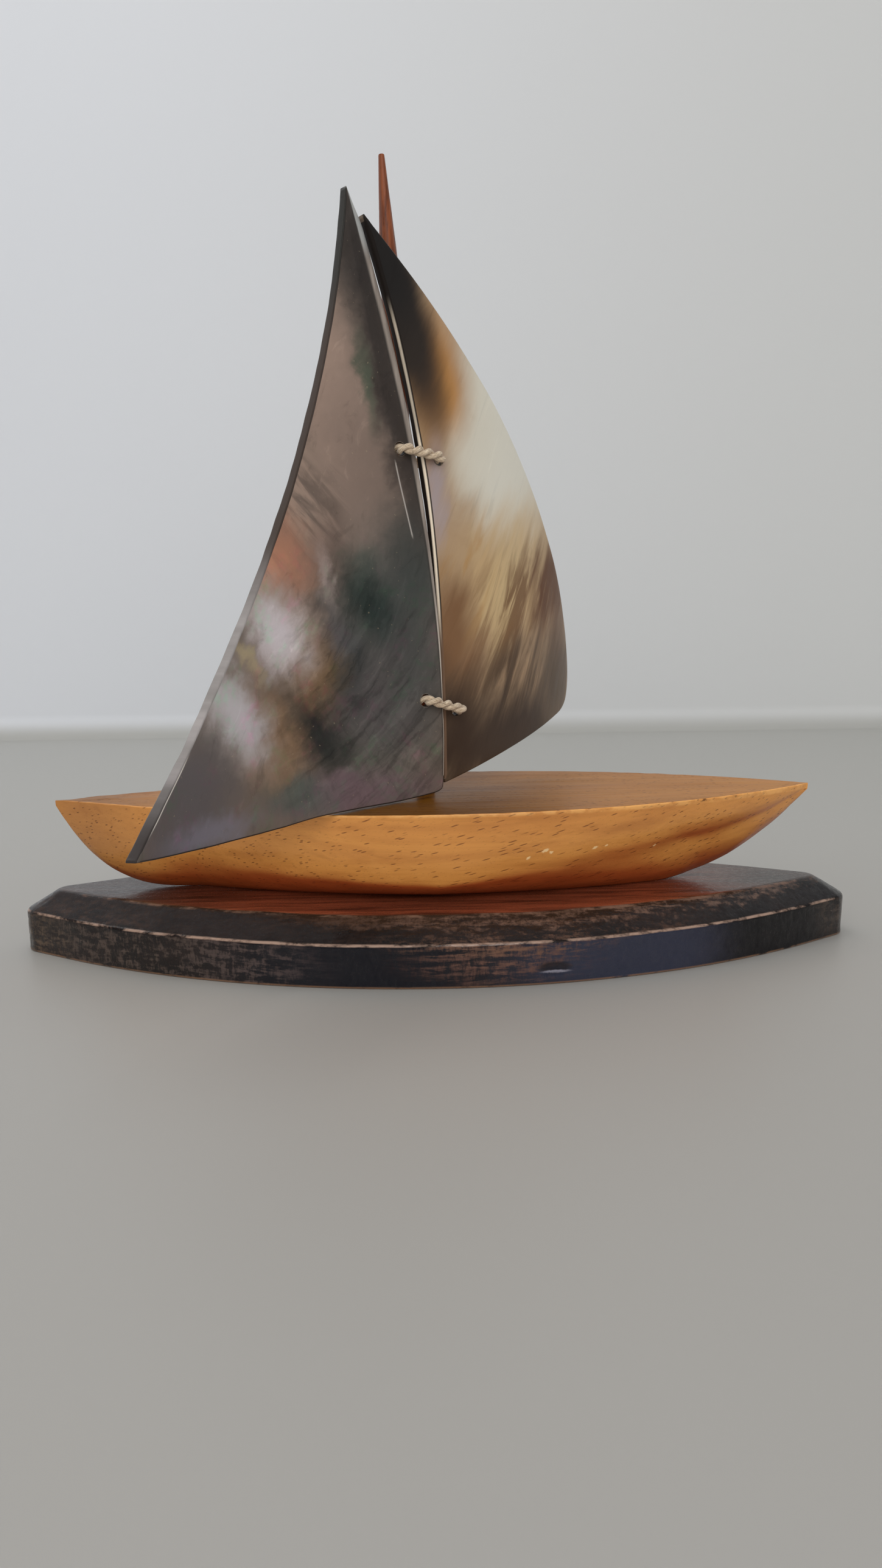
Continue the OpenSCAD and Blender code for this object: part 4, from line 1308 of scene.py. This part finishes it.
def plinth_material():
    mat = Material("stained_plinth")
    pos = mat.object_mm()
    x, y, z = pos.split()
    facing_up = mat.normal_z()
    top, wall = facing_up.fade(0.93, 0.99), facing_up.fade(0.5, 0.25)
    chamfer = facing_up.fade(0.25, 0.5) * facing_up.fade(0.99, 0.93)
    big = (pos * (0.028, 0.05, 0.09)).noise(detail=5, rough=0.62, warp=0.5)
    fine = (pos * (0.9, 0.9, 0.35)).noise(detail=6, rough=0.7, warp=0.3)
    level = (pos * (0.10, 0.5, 0.9)).noise(detail=6, rough=0.7, warp=0.4)
    pores = (pos * (0.35, 2.0, 2.0)).noise(detail=3, rough=0.6)
    col = mat.mix(big.fade(0.35, 0.65), (22, 18, 18), (36, 27, 25))
    flat = mat.combine(x, z)
    rub = (fine * 0.55 + level * 0.45).fade(0.47, 0.60)
    rub_wide = (fine * 0.35 + level * 0.65).fade(0.44, 0.62)
    near = y.fade(5, -5)

    def patches(base, layers):
        """Ragged patches at (x, z)."""
        for layer in layers:
            drift = pos.drift(scale=0.35, detail=5, rough=0.65, warp=0.3)
            base = mat.paint(base, flat + drift * 7.0, [layer])
        return base

    col = patches(col, [
        # near side: a near-black bluish stretch, then a lighter bluish stretch of painted sheen
        ((18, 18, 26), (-18, 5), (30, 12), 0, 0.5, 0.9, near * wall),
        ((50, 53, 70), (43, 5), (26, 12), 0, 0.5, 0.85, near * wall),
        # mostly worn brown elsewhere
        ((88, 74, 66), (-72, 5), (26, 8), 0, 0.6, 0.85, rub, wall),
        ((74, 62, 56), (-50, 4), (12, 8), 0, 0.6, 0.9, rub, wall),
        ((112, 80, 68), (13, 6.6), (17, 5.0), 0, 0.7, 1.0, rub_wide, wall),
        ((116, 84, 66), (14, 9.2), (20, 1.4), 0, 0.7, 0.9, rub_wide, wall),
        ((96, 78, 62), (-100, 4), (8, 6), 0, 0.6, 0.85, rub_wide, wall),
        ((92, 76, 64), (101, 7), (8, 5), 0, 0.6, 0.85, rub_wide, wall),
        ((14, 13, 16), (84, 5), (15, 12), 0, 0.5, 0.9, wall),
        ((84, 70, 68), (-44, 5), (13, 9), 0, 0.8, 0.8, rub_wide, wall)])
    # the far side, worn here and there
    col = col.mix(y.fade(-5, 5) * big.fade(0.50, 0.62) * (rub * 0.8), (86, 68, 58))
    # rubbed stretches and streaks along the chamfer
    col = patches(col, [
        ((80, 58, 46), (-84, 12), (20, 2.0), 0, 0.6, 0.5, rub_wide, chamfer),
        ((116, 88, 74), (24, 14.3), (46, 1.5), 0, 0.6, 0.95, rub_wide, chamfer),
        ((112, 82, 66), (22, 10.9), (30, 0.7), 0, 0.7, 0.8, rub_wide, chamfer),
        ((110, 88, 76), (72, 14.4), (26, 1.0), 0, 0.6, 0.85, rub_wide, chamfer),
        ((56, 42, 36), (-30, 13), (30, 2.4), 0, 0.6, 0.4, rub_wide, chamfer)])
    # top: warm brown in the middle, darker and greyer towards both ends
    grain = (pos * (0.03, 0.4, 0.4)).noise(detail=5, rough=0.65, warp=0.4)
    dark, light = (mat.mix(abs(x + -4.0).fade(44, 84), *pair) for pair in (
        ((96, 50, 34), (44, 34, 31)), ((150, 80, 54), (66, 50, 44))))
    col = col.mix(top, mat.mix(grain.fade(0.36, 0.62), dark, light))
    col = col.mix(top * grain.fade(0.42, 0.30) * 0.6, (38, 26, 22))
    col = col.tint_where(pores.fade(0.34, 0.26, 0, 0.7), 0.45)
    # the dent on the near side: painted shade inside it and a painted highlight on its lower lip
    ragged = mat.combine(x + (fine - 0.5) * 1.2, z + (fine - 0.5) * 0.5)
    near_wall = wall * near
    dent = ragged.blob((25.4, 4.0), (3.8, 1.3), 0, 0.3) * near_wall
    col = col.mix(dent * 0.8, (24, 22, 28))
    dent_lip_highlight = ragged.blob((25.6, 3.0), (2.8, 0.28), 0, 0.6) * near_wall
    col = col.mix(dent_lip_highlight * 0.85, (150, 146, 158))
    # arrises: the lower one pale, partly rubbed and partly a painted highlight, the upper one rubbed;
    # bare wood at the very bottom
    wear = (pos * (0.12, 0.3, 0.3)).noise(detail=5, rough=0.65)
    # pale lower arris: rubbed wood and a painted highlight
    lower = abs(z + (-SHOULDER_Z + 0.05)).fade(0.42, 0.10) * wear.fade(0.40, 0.58)
    col = col.mix(lower * 0.9, (176, 146, 128))
    upper = (abs(z + (-PLINTH_TOP + 0.3)).fade(0.40, 0.1) * facing_up.fade(0.985, 0.93)
             * wear.fade(0.46, 0.62))
    col = col.mix(upper * 0.7, (130, 100, 84))
    col = col.mix(z.fade(0.75, 0.15) * wear.fade(0.36, 0.50) * 0.9, (150, 112, 84))
    col = col.mix(facing_up.fade(-0.5, -0.9), (120, 88, 62))
    bump = pos.noise(scale=0.9, detail=4, rough=0.6).bump(0.16, 0.6)
    bump = (pos * (1, 1, 1)).cells(0.8).fade(0.0, 0.25).bump(0.10, 0.5, bump)
    return mat.surface(
        Base_Color=col.tint(1.0), Roughness=fine.fade(0.3, 0.7, 0.24, 0.42),
        Specular_IOR_Level=0.16,
        Coat_Weight=mat.mix(top, fine.fade(0.3, 0.75, 0.8, 0.3), (0.42, 0.42, 0.42, 1)),
        Coat_Roughness=level.fade(0.3, 0.7, 0.07, 0.20), Coat_IOR=1.5,
        Normal=level.bump(0.10, 0.5, bump),
        Coat_Normal=pos.noise(scale=0.55, detail=3, rough=0.55).bump(0.22, 0.55))


def mast_material():
    mat = Material("mast_whittled_wood")
    pos = mat.object_mm()
    grain = (pos * (0.9, 0.9, 0.045)).noise(detail=6, rough=0.66, warp=0.8)
    col = mat.ramp(grain, [(0.30, (70, 38, 24)), (0.45, (120, 66, 38)),
                           (0.58, (150, 86, 50)), (0.75, (104, 56, 34))])
    line = (pos * (2.2, 2.2, 0.10)).noise(detail=4, rough=0.6)
    col = col.mix(line.fade(0.40, 0.30, 0, 0.8), (52, 28, 20))
    return mat.surface(
        Base_Color=col.tint((0.98, 0.86, 0.74)), Roughness=grain.fade(0.3, 0.7, 0.38, 0.55),
        Coat_Weight=0.2, Coat_Roughness=0.3, Normal=line.bump(0.12, 0.7, grain.bump(0.15, 0.5)))


def cord_material():
    mat = Material("cotton_twine")
    pos = mat.object_mm()
    along, angle, strand = mat.attribute("rope").split()
    fibres = mat.combine(along * 1.1 + angle * 0.9, angle * 3.2, strand * 9.0).noise(
        detail=5, rough=0.65, warp=0.2)
    col = mat.mix(fibres.fade(0.34, 0.66), (150, 126, 100), (214, 196, 170))
    grime = pos.noise(scale=0.45, detail=4, rough=0.6)
    col = col.mix(grime.fade(0.56, 0.72, 0, 0.5), (136, 110, 84))
    hair = pos.noise(scale=6.0, detail=3, rough=0.6)
    col = col.mix(hair.fade(0.58, 0.70, 0, 0.35), (228, 214, 190))
    return mat.surface(
        Base_Color=col.tint(1.35), Roughness=0.85, Specular_IOR_Level=0.25,
        Sheen_Weight=0.25, Sheen_Roughness=0.6, Normal=(fibres + hair * 0.5).bump(0.22, 0.8))


def brass_material():
    mat = Material("screw_brass_dull")
    pos = mat.object_mm()
    cloud = pos.noise(scale=1.4, detail=5, rough=0.6)
    col = mat.mix(cloud.fade(0.35, 0.65), (150, 118, 60), (196, 162, 92))
    tarnish = pos.noise(scale=3.0, detail=3, rough=0.6)
    col = col.mix(tarnish.fade(0.58, 0.7, 0, 0.7), (84, 66, 40))
    return mat.surface(
        Base_Color=col, Metallic=1.0, Roughness=cloud.fade(0.3, 0.7, 0.28, 0.5),
        Normal=pos.noise(scale=5.0, detail=4, rough=0.6).bump(0.03, 0.5))


def sweep_material():
    mat = Material("studio_sweep")
    pos = mat.object_mm()
    x, y, z = pos.split()
    floor = mat.mix(y.fade(-150, 380), (168, 165, 160), (176, 175, 170))
    wall = mat.mix(x.fade(-260, 330), (226, 228, 232), (214, 214, 212))
    # polished faces mirror a dimmer foreground
    floor = floor.mix(mat.glossy_ray() * y.fade(-90, -230) * 0.8, (60, 58, 58))
    return mat.surface(
        Base_Color=mat.mix(z.fade(1, 12), floor, wall), Roughness=z.fade(2, 40, 0.42, 0.8),
        Specular_IOR_Level=0.35,
        Normal=pos.noise(scale=1.2, detail=4, rough=0.6).bump(0.02, 0.4))


# ------------------------------------------------------------------ build
jib, main = build_jib(), build_main()
hull, plinth, mast = build_hull(), build_plinth(), build_mast()
upper_cord = build_lashing(0, "upper_lashing_cord")
lower_cord = build_lashing(1, "lower_lashing_cord")
twine = cord_material()
# object, node it replaces, body it rides, slot, material
for ob, node, body, slot, material in (
        (jib, "jib", "jib", "jib_shell", jib_material()),
        (main, "mainsail", "mainsail", "main_shell", main_material()),
        (hull, "hull", "boat", "varnished_wood", hull_material()),
        (plinth, "plinth", "boat", "stained_wood", plinth_material()),
        (mast, "mast", "boat", "mast_wood", mast_material()),
        (upper_cord, "upper_lashing", "mainsail", "cord", twine),
        (lower_cord, "lower_lashing", "mainsail", "cord", twine)):
    ob.data.materials.clear()
    ob.data.materials.append(material)
    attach(ob, body)
    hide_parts(node)
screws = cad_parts["hull_screws"]
screws.data.materials.clear()
screws.data.materials.append(brass_material())

# ------------------------------------------------------------------ camera (metres)
scene = bpy.context.scene


def build_camera():
    position = (-0.00931, -0.27588, 0.09019)
    yaw, pitch, roll = (math.radians(a) for a in (2.19, 10.24, 0.51))
    forward = np.array([math.sin(yaw) * math.cos(pitch), math.cos(yaw) * math.cos(pitch),
                        -math.sin(pitch)])
    level = np.array([math.cos(yaw), -math.sin(yaw), 0.0])
    below = np.cross(forward, level)
    right = math.cos(roll) * level + math.sin(roll) * below
    down = -math.sin(roll) * level + math.cos(roll) * below
    data = bpy.data.cameras.new("photo_view")
    camera = bpy.data.objects.new("photo_view", data)
    scene.collection.objects.link(camera)
    scene.camera = camera
    rows = [tuple(row) for row in zip(right, -down, -forward, position)]
    camera.matrix_world = Matrix(rows + [(0, 0, 0, 1)])
    data.sensor_fit = "AUTO"
    data.sensor_width = data.sensor_height = 36.0
    data.lens = 25.5327484
    data.clip_start, data.clip_end = 0.01, 10.0
    scene.render.resolution_x, scene.render.resolution_y = 1449, 2576


def build_stage():
    """One sheet: a level floor that sweeps up into a pale backdrop."""
    bend_y, bend_r, columns = 388, 14, 9
    profile = [(-700, 0), (-400, 0), (-150, 0), (100, 0), (300, 0)]       # (y, z)
    profile += [(bend_y + bend_r * math.sin(a), bend_r - bend_r * math.cos(a))
                for a in np.linspace(0, math.pi / 2, 12)]
    profile += [(bend_y + bend_r, 300), (bend_y + bend_r, 900)]
    verts = [(x, y, z - 0.02) for y, z in profile for x in np.linspace(-900, 900, columns)]
    faces = []
    for i in range(len(profile) - 1):
        for k in range(columns - 1):
            a, b = i * columns + k, (i + 1) * columns + k
            faces.append((a, a + 1, b + 1, b))
    stage = mesh_object("studio_sweep", verts, faces)
    stage.data.materials.append(sweep_material())


def build_world():
    world = bpy.data.worlds.new("studio")
    scene.world = world
    world.use_nodes = True
    graph = Graph(world.node_tree)
    background = world.node_tree.nodes["Background"]
    y = graph.node("TexCoord", {}, "Generated", Place).split()[1]
    mirrored = y.fade(-0.35, 0.5, 0.07, 0.45)       # polished faces see dark in front, pale behind
    strength = graph.node("Mix", {0: graph.glossy_ray(), 2: 0.36, 3: mirrored},
                          data_type="FLOAT")
    graph.feed(background.inputs[0], (0.93, 0.965, 1.0, 1))
    graph.feed(background.inputs[1], strength)


# name, place, aim, size (m), power (W), colour, seen in reflections
LIGHTS = [
    ("key_overhead", (-0.25, 0.15, 0.95), (0, 0.02, 0.05), (1.0, 0.8), 3.8, (1.0, 0.985, 0.96), False),
    ("front_fill", (-0.10, -1.15, 0.45), (0, 0, 0.05), (1.3, 1.1), 8.4, (1.0, 0.98, 0.96), False),
    ("fill_right", (0.85, 0.05, 0.5), (0, 0, 0.06), (0.6, 0.6), 1.0, (0.95, 0.97, 1.0), False),
    ("glint_left", (-0.6, -0.1, 0.5), (0, 0, 0.05), (0.25, 0.25), 0.25, (1, 1, 1), True),
    ("glint_front", (0.16, -0.8, 0.62), (0, 0, 0.02), (0.22, 0.34), 0.7, (0.93, 0.96, 1.0), True),
]


def build_lights():
    for name, place, aim, size, power, colour, mirrored in LIGHTS:
        data = bpy.data.lights.new(name, "AREA")
        data.shape = "RECTANGLE"
        data.size, data.size_y = size
        data.energy = power
        data.color = colour
        light = bpy.data.objects.new(name, data)
        scene.collection.objects.link(light)
        light.location = place
        light.visible_glossy = mirrored
        light.rotation_euler = (Vector(aim) - Vector(place)).to_track_quat("-Z", "Y").to_euler()


build_camera()
build_stage()
build_world()
build_lights()
scene.view_settings.view_transform = "Standard"
scene.view_settings.look = "None"
scene.view_settings.exposure = 0.0
scene.view_settings.gamma = 1.0
